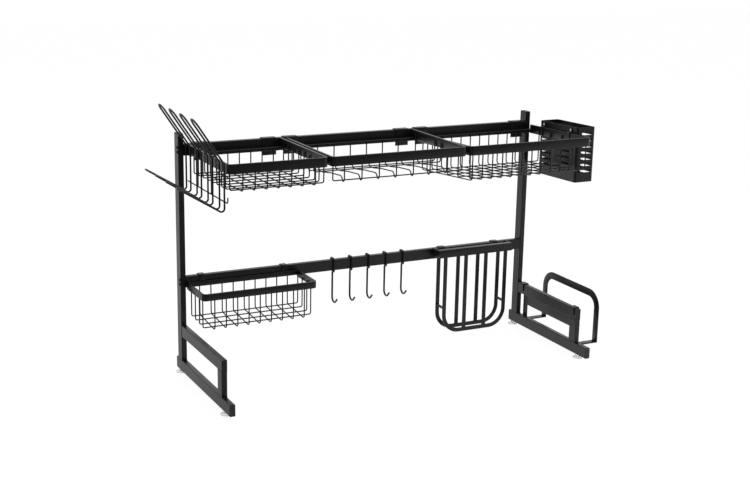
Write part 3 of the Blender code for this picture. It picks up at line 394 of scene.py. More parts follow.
def spun(name, profile, place, axis, steps=32):
    """A profile of (radius, height) pairs spun about an axis through a place."""
    item = ring_of(name, len(profile), "NOTHING")
    axis = Vector(axis)
    side = axis.orthogonal().normalized()
    place = Vector(place) + ORIGIN
    for vertex, (radius, height) in zip(item.data.vertices, profile):
        vertex.co = place + side * radius + axis * height
    with shaping(item, "EDGE") as work:
        # The circle's closing edge would make a wall along the axis
        work.verts.ensure_lookup_table()
        ends = {work.verts[0], work.verts[len(profile) - 1]}
        pick(item, work, work.edges, lambda edge: set(edge.verts) == ends)
        bpy.ops.mesh.delete(type="EDGE")
        bpy.ops.mesh.select_all(action="SELECT")
        bpy.ops.mesh.spin(steps=steps, angle=2 * pi, center=place, axis=axis)
    return turned_outward(item, 1e-5)


def wires(name, paths, radius, closed=False):
    """Round wires through the paths, as one mesh."""
    curve = bpy.data.curves.new(name, "CURVE")
    curve.dimensions = "3D"
    curve.bevel_depth = radius
    curve.bevel_resolution = WIRE_SIDES // 2 - 2
    curve.use_fill_caps = True
    for path in paths:
        spline = curve.splines.new("POLY")
        spline.points.add(len(path) - 1)
        for knot, point in zip(spline.points, path):
            knot.co = (*(Vector(point) + ORIGIN), 1)
        spline.use_cyclic_u = closed
    item = linked(bpy.data.objects.new(name, curve))
    choose(item)
    bpy.ops.object.convert(target="MESH")
    return turned_outward(bpy.context.object, 1e-5)


def round_tips(item, radius, places):
    """Rounds the flat ends of a wire near these places."""
    middles = [Vector(place) + ORIGIN for place in places]
    with shaping(item) as work:
        def at_end(face):
            centre = face.calc_center_median()
            return len(face.verts) > 4 and min((centre - middle).length for middle in middles) < radius
        pick(item, work, work.faces, at_end)
        bpy.ops.mesh.bevel(offset=radius * 0.6, segments=4, affect="EDGES")
    return item


def softened(corners, radius, steps=ARC_STEPS, closed=False):
    """The corners as a path whose turns are arcs. The radius may be a list with one value a corner."""
    points = [Vector(corner) for corner in corners]
    radii = radius if isinstance(radius, (list, tuple)) else [radius] * len(points)
    path = []
    for i, point in enumerate(points):
        if radii[i] == 0 or not closed and i in (0, len(points) - 1):
            path.append(tuple(point))
            continue
        before = (points[i - 1] - point).normalized()
        after = (points[(i + 1) % len(points)] - point).normalized()
        half = before.angle(after) / 2
        centre = point + (before + after).normalized() * (radii[i] / sin(half))
        start = point + before * (radii[i] / tan(half)) - centre
        end = point + after * (radii[i] / tan(half)) - centre
        swing = start.angle(end)
        for step in range(steps + 1):
            angle = swing * step / steps
            path.append(tuple(centre + (start * sin(swing - angle) + end * sin(angle)) / sin(swing)))
    return path


def rectangle(u0, v0, u1, v1, radius=0, steps=ARC_STEPS):
    return softened([(u0, v0), (u1, v0), (u1, v1), (u0, v1)], radius, steps, closed=True)


def strip(path, thickness):
    """The outline of a bar that follows an open path on its left, this thick to the path's right."""
    points = [Vector(point) for point in path]
    other = []
    for i, point in enumerate(points):
        before = (point - points[i - 1]).normalized() if i else None
        after = (points[i + 1] - point).normalized() if i + 1 < len(points) else None
        along = before if after is None else after if before is None else (before + after).normalized()
        stretch = along.dot(after if after is not None else before)
        other.append(tuple(point + Vector((along.y, -along.x)) * (thickness / stretch)))
    return [tuple(point) for point in points] + other[::-1]


def swapped(outline):
    return [(v, u) for u, v in outline]


def spread(first, last, count):
    """Evenly spaced values from the first to the last."""
    return [first + (last - first) * i / (count - 1) for i in range(count)]


def at_origin(low, high):
    """Corners given from the rack's own origin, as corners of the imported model."""
    return Vector(low) + ORIGIN, Vector(high) + ORIGIN


# Shader nodes as expressions

class Signal:
    """A node's output that can be added and multiplied."""

    def __init__(self, nodes, socket):
        self.nodes = nodes
        self.socket = socket

    def combined(self, operation, other):
        return self.nodes.add("Math", {"operation": operation}, {0: self, 1: other})

    def __add__(self, other):
        return self.combined("ADD", other)

    def __mul__(self, other):
        return self.combined("MULTIPLY", other)


class Nodes:
    """Adds nodes to a material's or a world's tree."""

    def __init__(self, tree):
        self.tree = tree

    def add(self, kind, settings=None, values=None, output=0):
        node = self.tree.nodes.new(f"ShaderNode{kind}")
        for name, value in (settings or {}).items():
            setattr(node, name, value)
        for name, value in (values or {}).items():
            self.fill(node.inputs[name], value)
        return Signal(self, node.outputs[output]) if len(node.outputs) else None

    def fill(self, socket, value):
        if isinstance(value, Signal):
            self.tree.links.new(value.socket, socket)
        else:
            socket.default_value = value

    def noise(self, place, scale, detail=2.0, roughness=0.5):
        values = {"Vector": place, "Scale": scale, "Detail": detail, "Roughness": roughness}
        return self.add("TexNoise", None, values)

    def blend(self, share, first, second):
        """One colour blended into another."""
        settings = {"data_type": "RGBA"}
        return self.add("Mix", settings, {0: share, 6: first, 7: second}, output=2)

    def between(self, value, low, high, to_low=0.0, to_high=1.0):
        """A value stretched from one range to another."""
        values = {0: value, 1: low, 2: high, 3: to_low, 4: to_high}
        return self.add("MapRange", {"clamp": True}, values)


def material(name):
    """A new material. Gives it, its nodes, its Principled shader and the object's own coordinates."""
    made = bpy.data.materials.new(name)
    made.use_nodes = True
    nodes = Nodes(made.node_tree)
    place = nodes.add("TexCoord", output="Object")
    return made, nodes, made.node_tree.nodes["Principled BSDF"], place


def emptied(owner):
    """The nodes of a material or a world, with none of them made yet."""
    owner.use_nodes = True
    owner.node_tree.nodes.clear()
    return Nodes(owner.node_tree)


def shade(tint, share=1.0, lift=0.0):
    """A darker or paler form of a colour."""
    return (*[value * share + lift for value in tint[:3]], 1.0)


def covered(nodes, shader, base, roughness, grain, strength, depth):
    """Gives a shader its colour, its roughness and the bumps of its grain."""
    bump = nodes.add("Bump", None, {"Strength": strength, "Distance": depth, "Height": grain})
    for name, value in (("Base Color", base), ("Roughness", roughness), ("Normal", bump)):
        nodes.fill(shader.inputs[name], value)


def painted(name, tint, roughness, peel, depth, specular):
    """Powder coat: a fine orange peel, a slight cloudiness and a little dust that dulls it in patches."""
    made, nodes, shader, place = material(name)
    cloud = nodes.noise(place, 21.0, 4.0)
    dust = nodes.between(nodes.noise(place, 160.0, 3.0, 0.7), 0.52, 0.78)
    base = nodes.blend(nodes.between(cloud, 0.35, 0.7), shade(tint, 0.75), shade(tint))
    base = nodes.blend(dust * 0.35, base, shade(tint, 1.9, 0.004))
    grain = nodes.noise(place, peel, 2.0)
    dull = grain * 0.10 + dust * 0.08 + cloud * 0.06 + (roughness - 0.10)
    covered(nodes, shader, base, dull, grain, 0.35, depth)
    shader.inputs["Specular IOR Level"].default_value = specular
    return made


def moulded(name, tint, roughness):
    """Black moulded plastic with a spark-eroded grain."""
    made, nodes, shader, place = material(name)
    grain = nodes.noise(place, 2400.0, 3.0, 0.6)
    wear = nodes.between(nodes.noise(place, 90.0), 0.45, 0.75)
    base = nodes.blend(wear * 0.5, shade(tint), shade(tint, 1.6))
    covered(nodes, shader, base, grain * 0.12 + (roughness - 0.06), grain, 0.5, 0.00006)
    return made


def bare_metal(name, tint, roughness, scratches):
    """Turned or pressed steel with fine scratches."""
    made, nodes, shader, place = material(name)
    stretched = nodes.add("Mapping", None, {"Vector": place, "Scale": (1.0, 9.0, 1.6)})
    scratch = nodes.noise(stretched, scratches, 4.0, 0.65)
    tarnish = nodes.between(nodes.noise(place, 420.0, 3.0), 0.4, 0.75)
    base = nodes.blend(tarnish * 0.4, shade(tint), shade(tint, 0.55))
    covered(nodes, shader, base, scratch * 0.22 + tarnish * 0.1 + (roughness - 0.12), scratch, 0.3, 0.00004)
    shader.inputs["Metallic"].default_value = 1.0
    return made


def clear_rubber(name, tint):
    """Soft clear plastic with a faint haze."""
    made, nodes, shader, place = material(name)
    haze = nodes.noise(place, 240.0, 3.0)
    base = nodes.blend(nodes.between(haze, 0.4, 0.7), shade(tint), shade(tint, 0.9))
    covered(nodes, shader, base, haze * 0.2 + 0.12, haze, 0.2, 0.00008)
    shader.inputs["Transmission Weight"].default_value = 0.7
    shader.inputs["IOR"].default_value = 1.2
    return made


def finish_of(name):
    """The material of this name, made on first use from the finishes that the user set."""
    found = bpy.data.materials.get(name)
    if found:
        return found
    looks = bpy.context.scene.rack_finishes
    coat = (looks.peel_scale, looks.peel_depth, looks.sheen)
    makers = {
        "satin_black_tube": lambda: painted(name, looks.steel_colour, looks.steel_roughness, *coat),
        "satin_black_wire": lambda: painted(name, looks.wire_colour, looks.wire_roughness, *coat),
        "moulded_black": lambda: moulded(name, looks.plastic_colour, looks.plastic_roughness),
        "black_oxide": lambda: bare_metal(name, looks.bolt_colour, 0.34, 900.0),
        "rivet_steel": lambda: bare_metal(name, looks.rivet_colour, 0.3, 700.0),
        "clear_soft": lambda: clear_rubber(name, looks.rubber_colour),
    }
    return makers[name]()


def fitted(item, body, *nodes, finish="satin_black_tube", edge=None, segments=2):
    """Rolls the edges, gives the finish, and puts the piece on its body in place of the plain solids."""
    if edge:
        rolled(item, edge, segments, 35, miter_outer="MITER_ARC", use_clamp_overlap=True)
    choose(item)
    bpy.ops.object.shade_smooth_by_angle(angle=radians(42))
    if edge:
        modified(item, "WEIGHTED_NORMAL", keep_sharp=True)
    item.data.materials.clear()
    item.data.materials.append(finish_of(finish))
    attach(item, body)
    if nodes:
        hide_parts(*nodes)
    return item


# Frame

def tube(node, along):
    """A frame tube at the place of its solid, with rolled corners."""
    low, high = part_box(node)
    item = bar(f"{node}_Tube", low, high, along, TUBE_CORNER)
    return fitted(item, "frame", node, edge=TUBE_EDGE)


def weld_beads(side, sign):
    """The beads where a leg's tubes meet, as rings round the joints."""
    thin, wide = TUBE_THIN / 2, TUBE_WIDE / 2
    x = sign * (POST_OUTER - thin)
    upright, middle = UPRIGHT_FRONT + wide, SIDE_BAR_TOP - wide
    rings = []
    for y, z in ((wide, TUBE_WIDE), (upright, TUBE_WIDE), (upright, SIDE_BAR_TOP - TUBE_WIDE)):
        ring = rectangle(x - thin, y - wide, x + thin, y + wide, TUBE_CORNER)
        rings.append([(u, v, z) for u, v in ring])
    ring = rectangle(x - thin, middle - wide, x + thin, middle + wide, TUBE_CORNER)
    rings.append([(u, 0, v) for u, v in ring])
    item = wires(f"{side}_Leg_Weld_Beads", rings, bpy.context.scene.rack_sizes.bead_radius, closed=True)
    return fitted(item, "frame")


def foot(side, end, x, y):
    """A clear suction foot: a cup with a lip, a waist and a grooved neck."""
    top = -SEAT
    profile = [
        (0, top), (FOOT_NECK, top), (FOOT_NECK, top - 0.0012), (FOOT_NECK * 0.82, top - 0.0016),
        (FOOT_NECK * 0.82, top - 0.0024), (FOOT_NECK * 1.1, top - 0.003), (FOOT_RADIUS * 0.66, -0.0045),
        (FOOT_RADIUS * 0.88, -0.0057), (FOOT_RADIUS * 0.98, -0.0067), (FOOT_RADIUS, -0.0074),
        (FOOT_RADIUS * 0.985, -FOOT_HEIGHT), (FOOT_RADIUS * 0.9, -FOOT_HEIGHT),
        (FOOT_RADIUS * 0.62, -FOOT_HEIGHT + 0.0016), (0, -FOOT_HEIGHT + 0.0022),
    ]
    item = spun(f"{side}_{end}_Suction_Foot", profile, (x, y, 0), (0, 0, 1), 48)
    return fitted(item, "frame", f"{side}_{end}_Foot", finish="clear_soft")


def cap(node, depth_axis, way):
    """A plastic plug's lid: its outer face is crowned by an inset and its corners follow the tube."""
    low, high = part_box(node)
    edge = bpy.context.scene.rack_sizes.cap_thickness
    if way > 0:
        low[depth_axis] = high[depth_axis] - edge
    else:
        high[depth_axis] = low[depth_axis] + edge
    item = bar(f"{node}_Lid", low, high, depth_axis, TUBE_CORNER)
    with shaping(item) as work:
        pick(item, work, work.faces, lambda face: face.normal[depth_axis] * way > FACING)
        bpy.ops.mesh.inset(thickness=CAP_BORDER, depth=0)
        push = Vector()
        push[depth_axis] = -way * CAP_CROWN
        bpy.ops.transform.translate(value=push)
    return fitted(item, "frame", node, finish="moulded_black", edge=CAP_EDGE, segments=3)


def bolt_head():
    """A button head with a hexagon socket, standing on the rack's origin."""
    profile = [(AXIS, BOLT_HEAD_HIGH)]
    for step in range(9):
        angle = radians(10 * step)
        rise = max(BOLT_HEAD_HIGH * cos(angle), SEAT)
        profile.append((BOLT_CROWN + (BOLT_HEAD - BOLT_CROWN) * sin(angle), rise))
    profile += [(BOLT_HEAD, SEAT), (AXIS, SEAT)]
    item = spun("bolt", profile, (0, 0, 0), (0, 0, 1), 32)
    with shaping(item):
        bpy.ops.mesh.select_all(action="SELECT")
        bpy.ops.mesh.remove_doubles(threshold=1.5 * AXIS)
    place = ORIGIN + Vector((0, 0, BOLT_HEAD_HIGH))
    bpy.ops.mesh.primitive_cylinder_add(vertices=6, radius=SOCKET_RADIUS, depth=SOCKET_HIGH, location=place)
    socket = bpy.context.object
    modified(item, "BOOLEAN", operation="DIFFERENCE", object=socket, solver="EXACT")
    bpy.data.objects.remove(socket)
    return item


def bolt(head, node, y, z, sign):
    """A copy of the head on a post's outer side."""
    item = head.copy()
    item.data = head.data.copy()
    item.name = item.data.name = f"{node}_Head"
    place = Matrix.Translation(ORIGIN + Vector((sign * POST_OUTER, y, z)))
    item.data.transform(place @ Matrix.Rotation(sign * pi / 2, 4, "Y") @ Matrix.Translation(-ORIGIN))
    return fitted(linked(item), "frame", node, finish="black_oxide")


# Baskets

class Basket:
    """The sizes of one hanging basket: a flat bar rim, a strip at its back and a wire cage under it.

    The lower basket hangs below its rail's top and has a thin bar against the rail in place of the strip.
    """

    def __init__(self, body, left, right, droop=0.0, upper=True):
        self.body = body
        self.node = body.title()
        self.left = left
        self.right = right
        self.droop = droop
        self.upper = upper
        self.back = -SEAT - CLIP_SHEET
        self.radius = bpy.context.scene.rack_sizes.wire_diameter / 2
        if upper:
            self.front, self.high = BASKET_FRONT, RIM_HIGH
            self.rail_top = self.top = TOP_RAIL_TOP
            self.strip_deep, self.strip_high = STRIP_DEEP, STRIP_HIGH
            self.strip_top = self.top - RIM_HIGH + STRIP_HIGH * STRIP_LAP_SHARE
            self.wire_back = self.back - STRIP_DEEP - SEAT - self.radius
            self.rear_rise = self.top - RIM_HIGH + droop
            self.clip_wide, self.clip_tail = CLIP_WIDTH, CLIP_TAIL
            self.clip_low = TOP_RAIL_TOP - TUBE_WIDE - CLIP_LIP
        else:
            self.front, self.high = LOWER_FRONT, LOWER_RIM_HIGH
            self.rail_top, self.top = MID_RAIL_TOP, MID_RAIL_TOP - LOWER_RIM_DROP
            self.strip_deep, self.strip_high = BAR_DEEP, BAR_HIGH
            self.strip_top = self.top - SEAT
            self.wire_back = self.back - BAR_DEEP / 2
            self.rear_rise = self.strip_top - BAR_HIGH - SEAT
            self.clip_wide, self.clip_tail = TAB_WIDTH, TAB_TAIL
            self.clip_low = self.strip_top - BAR_HIGH + SEAT
        self.wire_front = self.front + RIM_THICK + SEAT + self.radius

    def at(self, share):
        return self.wire_back + (self.wire_front - self.wire_back) * share

    def drooped(self, item):
        """The piece sheared so that the basket's back hangs lower than its front bar."""
        slope = self.droop / (self.back - self.front)
        for vertex in item.data.vertices:
            vertex.co.z -= slope * (vertex.co.y - ORIGIN.y - self.front)
        return item

    def floor(self, front_drop, back_drop):
        slope = (back_drop - front_drop) / (self.wire_front - self.wire_back)
        return lambda y: self.top - back_drop + slope * (y - self.wire_back)


def right_basket():
    return Basket("right_basket", RIGHT_BASKET_LEFT, RIGHT_BASKET_RIGHT, RIGHT_DROOP)


def clip(rail_top, low, tail, x, wide):
    """A sheet hook over a rail: front plate, top and short tail behind."""
    behind, top = TUBE_THIN + SEAT, rail_top + SEAT
    inner = [(-SEAT, low), (-SEAT, top), (behind, top), (behind, rail_top - tail)]
    outline = strip(softened(inner, SHEET_BEND, 4), -CLIP_SHEET)
    return plate("clip", outline, x - wide / 2, x + wide / 2, "YZ")


def rim(basket, *hooks):
    """The rim's flat bar, the strip behind it and the clips that hang it, welded into one."""
    corners = [(basket.left, basket.back), (basket.left, basket.front),
               (basket.right, basket.front), (basket.right, basket.back)]
    outline = strip(softened(corners, [0, RIM_RADIUS, RIM_RADIUS, 0]), -RIM_THICK)
    flat_bar = basket.drooped(plate("rim", outline, basket.top - basket.high, basket.top, "XY"))
    pieces = [rolled(flat_bar, RIM_EDGE, degrees=35)]
    lap = RIM_THICK / 2
    pieces.append(bar("shelf", *at_origin(
        (basket.left + lap, basket.back - basket.strip_deep, basket.strip_top - basket.strip_high),
        (basket.right - lap, basket.back + CLIP_SHEET / 2, basket.strip_top)), 0, STRIP_CORNER))
    for x in hooks:
        item = clip(basket.rail_top, basket.clip_low, basket.clip_tail, x, basket.clip_wide)
        pieces.append(rolled(item, SHEET_EDGE, 2, 50))
    item = joined(f"{basket.node}_Rim_Bar", *pieces)
    return fitted(item, basket.body, f"{basket.node}_Rim")


def nest(radius):
    """How far inside a bend's corner a wire's middle lies when the wire rests in the bend."""
    return WIRE_BEND - (WIRE_BEND - 2 * radius + WIRE_SINK) * cos(pi / 4)


def long_wire(basket, y, z):
    inner = RIM_THICK + SEAT + basket.radius
    low, high = basket.left + inner, basket.right - inner
    rise = basket.top - WIRE_WELD
    return softened([(low, y, rise), (low, y, z), (high, y, z), (high, y, rise)], SIDE_BEND)


def plain_wire(basket, x, floor):
    front, back = basket.wire_front, basket.wire_back
    return softened([(x, front, basket.top - WIRE_WELD), (x, front, floor(front)),
                     (x, back, floor(back)), (x, back, basket.rear_rise)], WIRE_BEND)


def hump_knots(basket):
    """Knots of a floor that dips at the front and at the middle wires and swells behind each."""
    low = basket.top - MIDDLE_FLOOR
    dip = basket.at(MIDDLE_DIP_SHARE)
    first, second, last = [low + HUMP_HIGH * share for share in HUMP_SHARES]
    knots = [(basket.wire_front, low)]
    for start, end in ((basket.wire_front + WIRE_BEND, dip), (dip, basket.wire_back - WIRE_BEND)):
        run = end - start
        knots += [(start, low), (start + HUMP_RUN / 2, first), (start + HUMP_RUN, low + HUMP_HIGH),
                  (start + run / 2, second), (start + run * HUMP_END_SHARE, last)]
    return knots + [(basket.wire_back - WIRE_BEND, low), (basket.wire_back, low)]


def level_on(knots):
    def level(y):
        for (y0, z0), (y1, z1) in zip(knots, knots[1:]):
            if y <= y1:
                return z0 + (z1 - z0) * (y - y0) / (y1 - y0)
        return knots[-1][1]
    return level


def humped_wire(basket, x, floor):
    front, back = basket.wire_front, basket.wire_back
    knots = [(x, y, z) for y, z in hump_knots(basket)]
    start = [(x, front, basket.top - WIRE_WELD), knots[0], (x, back, floor(front))]
    tail = [(x, back, floor(back) + WIRE_BEND), (x, back, basket.rear_rise)]
    return softened(start, WIRE_BEND)[:-1] + softened(knots[2:-1], HUMP_BEND, 4) + tail


def cage(basket, cross, count, margins, shares, floor):
    """All the wires of one basket."""
    first, last = basket.left + margins[0], basket.right - margins[1]
    paths = [cross(basket, x, floor) for x in spread(first, last, count)]
    inside = nest(basket.radius)
    places = [(basket.wire_front + inside, floor(basket.wire_front) + inside)] if basket.upper else []
    places += [(basket.at(s), floor(basket.at(s)) + 2 * basket.radius - WIRE_SINK) for s in shares]
    paths += [long_wire(basket, y, z) for y, z in places]
    item = basket.drooped(wires(f"{basket.node}_Wires", paths, basket.radius))
    return fitted(item, basket.body, f"{basket.node}_Cage", finish="satin_black_wire")


# Sizes and finishes that a user would change

def length(label, text, default, **settings):
    return FloatProperty(name=label, description=text, default=default, unit="LENGTH", **settings)


def paint(label, text, *default):
    return FloatVectorProperty(name=label, description=text, default=default, subtype="COLOR", min=0, max=1)


def factor(label, text, default):
    return FloatProperty(name=label, description=text, default=default, subtype="FACTOR", min=0, max=1)


def power(label, text, default):
    return FloatProperty(name=label, description=text, default=default, unit="POWER")


class RackSizes(bpy.types.PropertyGroup):
    wire_diameter: length("Basket wire", "Thickness of the baskets' wires", 0.0028)
    loop_diameter: length("Plate loop wire", "Thickness of the plate loops' wire", 0.0038)
    hook_diameter: length("S-hook wire", "Thickness of the S-hooks' wire", 0.0044)
    bead_radius: length("Weld bead", "Radius of the weld beads on the legs", 0.0007)
    cap_thickness: length("Cap thickness", "How thick the plastic caps' lids are", 0.0015)
    bar_edge: length("Flat bar edge", "Rounding of the flat bars' edges", 0.0007)
    slot_rows: IntProperty(
        name="Slot rows", description="Rows of slots in the utensil box", default=7, min=1, max=7)


class RackFinishes(bpy.types.PropertyGroup):
    steel_colour: paint("Tube paint", "Colour of the painted tubes and flat bars", 0.0056, 0.0056, 0.0060)
    wire_colour: paint("Wire paint", "Colour of the painted wires", 0.0050, 0.0050, 0.0053)
    plastic_colour: paint("Plastic", "Colour of the caps", 0.014, 0.014, 0.014)
    bolt_colour: paint("Bolts", "Colour of the bolts", 0.06, 0.06, 0.063)
    rivet_colour: paint("Rivets", "Colour of the rivets", 0.62, 0.61, 0.60)
    rubber_colour: paint("Feet", "Tint of the clear feet", 0.95, 0.955, 0.955)
    steel_roughness: factor("Tube roughness", "How dull the tubes' paint is", 0.36)
    wire_roughness: factor("Wire roughness", "How dull the wires' paint is", 0.33)
    plastic_roughness: factor("Plastic roughness", "How dull the caps are", 0.55)
    sheen: factor("Paint gloss", "Specular level of the paint", 0.34)
    peel_scale: FloatProperty(
        name="Orange peel", description="Bumps of the paint a metre", default=1100.0, min=10, max=5000)
    peel_depth: length("Peel depth", "Height of the paint's bumps", 0.00007, precision=6)


class RackStage(bpy.types.PropertyGroup):
    floor_size: length("Floor", "Side of the square floor", 16.0)
    room_light: FloatProperty(
        name="Room light", description="Strength of the even light", default=0.62, min=0, max=4)
    top_light: power("Top light", "Power of the softbox overhead", 30.0)
    side_light: power("Side light", "Power of the softbox at the left", 7.0)


class PieceOperator:
    """What all of the rack's operators share."""

    bl_options = {"REGISTER", "UNDO"}

    def execute(self, context):
        if "rack_sizes" not in context.scene.bl_rna.properties:
            raise RuntimeError("register() has to run before the rack's pieces are made")
        self.build(context)
        return {"FINISHED"}


class RACK_OT_frame_tubes(PieceOperator, bpy.types.Operator):
    """Legs and rails of rounded rectangular tube, with their weld beads"""

    bl_idname = "rack.frame_tubes"
    bl_label = "Frame tubes"

    def build(self, context):
        for side, sign in SIDES:
            for part, along in (("Base_Rail", 1), ("Post", 2), ("Side_Bar", 1), ("Front_Upright", 2)):
                tube(f"{side}_{part}", along)
            weld_beads(side, sign)
        for rail in ("Top_Rail", "Mid_Rail"):
            tube(rail, 0)


class RACK_OT_caps_and_feet(PieceOperator, bpy.types.Operator):
    """Plastic caps in the tubes' ends and clear suction feet"""

    bl_idname = "rack.caps_and_feet"
    bl_label = "Caps and feet"

    def build(self, context):
        for side, sign in SIDES:
            cap(f"{side}_Post_Cap", 2, 1)
            cap(f"{side}_Front_Plug", 1, -1)
            cap(f"{side}_Rear_Plug", 1, 1)
            for end, y in (("Front", BASE_FRONT + FRONT_FOOT_INSET), ("Rear", REAR_FOOT_Y)):
                foot(side, end, sign * (POST_OUTER - TUBE_THIN / 2), y)


class RACK_OT_bolts(PieceOperator, bpy.types.Operator):
    """Button-head bolts that hold the rails"""

    bl_idname = "rack.bolts"
    bl_label = "Bolts"

    def build(self, context):
        head = bolt_head()
        for rail, top in (("Top", TOP_RAIL_TOP), ("Mid", MID_RAIL_TOP)):
            for side, sign in SIDES:
                for place, way in (("Lower", -1), ("Upper", 1)):
                    z = top - TUBE_WIDE / 2 + way * BOLT_SPREAD / 2
                    bolt(head, f"{side}_{rail}_Bolt_{place}", TUBE_THIN / 2, z, sign)
        bpy.data.objects.remove(head)


class RACK_OT_baskets(PieceOperator, bpy.types.Operator):
    """The three upper baskets and the lower one"""

    bl_idname = "rack.baskets"
    bl_label = "Wire baskets"

    def build(self, context):
        left = Basket("left_basket", LEFT_BASKET_LEFT, LEFT_BASKET_RIGHT)
        middle = Basket("middle_basket", MIDDLE_BASKET_LEFT, MIDDLE_BASKET_RIGHT)
        right = right_basket()
        lower = Basket("lower_basket", LOWER_LEFT, LOWER_RIGHT, upper=False)
        half = CLIP_WIDTH / 2
        inset, flush = CLIP_INSET + half, half - CLIP_OVERHANG
        rim(left, left.left + inset, left.right - inset)
        rim(middle, middle.left + flush, middle.right - inset)
        rim(right, right.left + flush, POST_INNER - POST_CLIP_GAP - half)
        rim(lower, lower.left + TAB_INSET, lower.right - TAB_INSET)
        cage(left, plain_wire, 7, LEFT_MARGINS, LEFT_LONG_SHARES, left.floor(*LEFT_FLOOR))
        cage(middle, humped_wire, 7, MIDDLE_MARGINS, MIDDLE_LONG_SHARES, level_on(hump_knots(middle)))
        cage(right, plain_wire, 12, RIGHT_MARGINS, RIGHT_LONG_SHARES, right.floor(*RIGHT_FLOOR))
        cage(lower, plain_wire, 9, LOWER_MARGINS, LOWER_LONG_SHARES, lower.floor(*LOWER_FLOOR))


class RACK_OT_plate_rack(PieceOperator, bpy.types.Operator):
    """Leaning plate loops on straps over the left basket's rim"""

    bl_idname = "rack.plate_rack"
    bl_label = "Plate rack"

    def build(self, context):
        radius = context.scene.rack_sizes.loop_diameter / 2
        rear, front = -PLATE_REAR_INSET - radius, BASKET_FRONT + PLATE_FRONT_INSET
        knee = TOP_RAIL_TOP - PLATE_VERTICAL
        profile = [(PLATE_X - PLATE_LEAN_OUT, TOP_RAIL_TOP + PLATE_LEAN_RISE), (PLATE_X, TOP_RAIL_TOP),
                   (PLATE_X, knee), (PLATE_X - PLATE_ARM_OUT, knee + PLATE_ARM_RISE)]
        half = PLATE_LOOP_WIDE / 2
        turn = half - SEAT
        for i, y in enumerate(spread(rear - half, front + half, 4)):
            corners = [(x, y + half, z) for x, z in profile] + [(x, y - half, z) for x, z in profile[::-1]]
            path = softened(corners, [turn, PLATE_BEND, PLATE_BEND, turn] * 2, ARC_STEPS, closed=True)
            item = wires(f"Plate_Rack_Wire_{i + 1}", [path], radius, closed=True)
            fitted(item, "plate_rack", f"Plate_Rack_Loop_{i + 1}", finish="satin_black_wire")
        self.add_support(context, rear, front, knee + PLATE_CROSS_RISE, radius)

    def add_support(self, context, rear, front, level, radius):
        """The wire across the loops, and two straps that hook it over the left basket's rim."""
        thin = context.scene.rack_sizes.wire_diameter / 2
        x = PLATE_X + radius + SEAT + thin
        low = TOP_RAIL_TOP - PLATE_STRAP_DROP
        end = BASKET_FRONT + radius
        paths = [softened([(x, rear, level), (x, end, level), (x, end, level + PLATE_CROSS_TIP)], PLATE_BEND)]
        outside, inside = LEFT_BASKET_LEFT - SEAT, LEFT_BASKET_LEFT + RIM_THICK + SEAT
        top = TOP_RAIL_TOP + SEAT
        path = [(outside, low), (outside, top), (inside, top), (inside, TOP_RAIL_TOP - PLATE_STRAP_TAIL)]
        outline = swapped(strip(softened(path, SHEET_BEND, 4), -PLATE_STRAP_SHEET))
        half = PLATE_STRAP_WIDE / 2
        straps = []
        for share in PLATE_STRAP_SHARES:
            y = rear + (front - rear) * share
            paths.append([(x, y, level - WIRE_SINK), (x, y, low + PLATE_STRAP_LAP)])
            straps.append(plate("strap", outline, y - half, y + half, "ZX"))
        item = joined("Plate_Rack_Rail", wires("rail", paths, thin), *straps)
        fitted(item, "plate_rack", "Plate_Rack_Support")


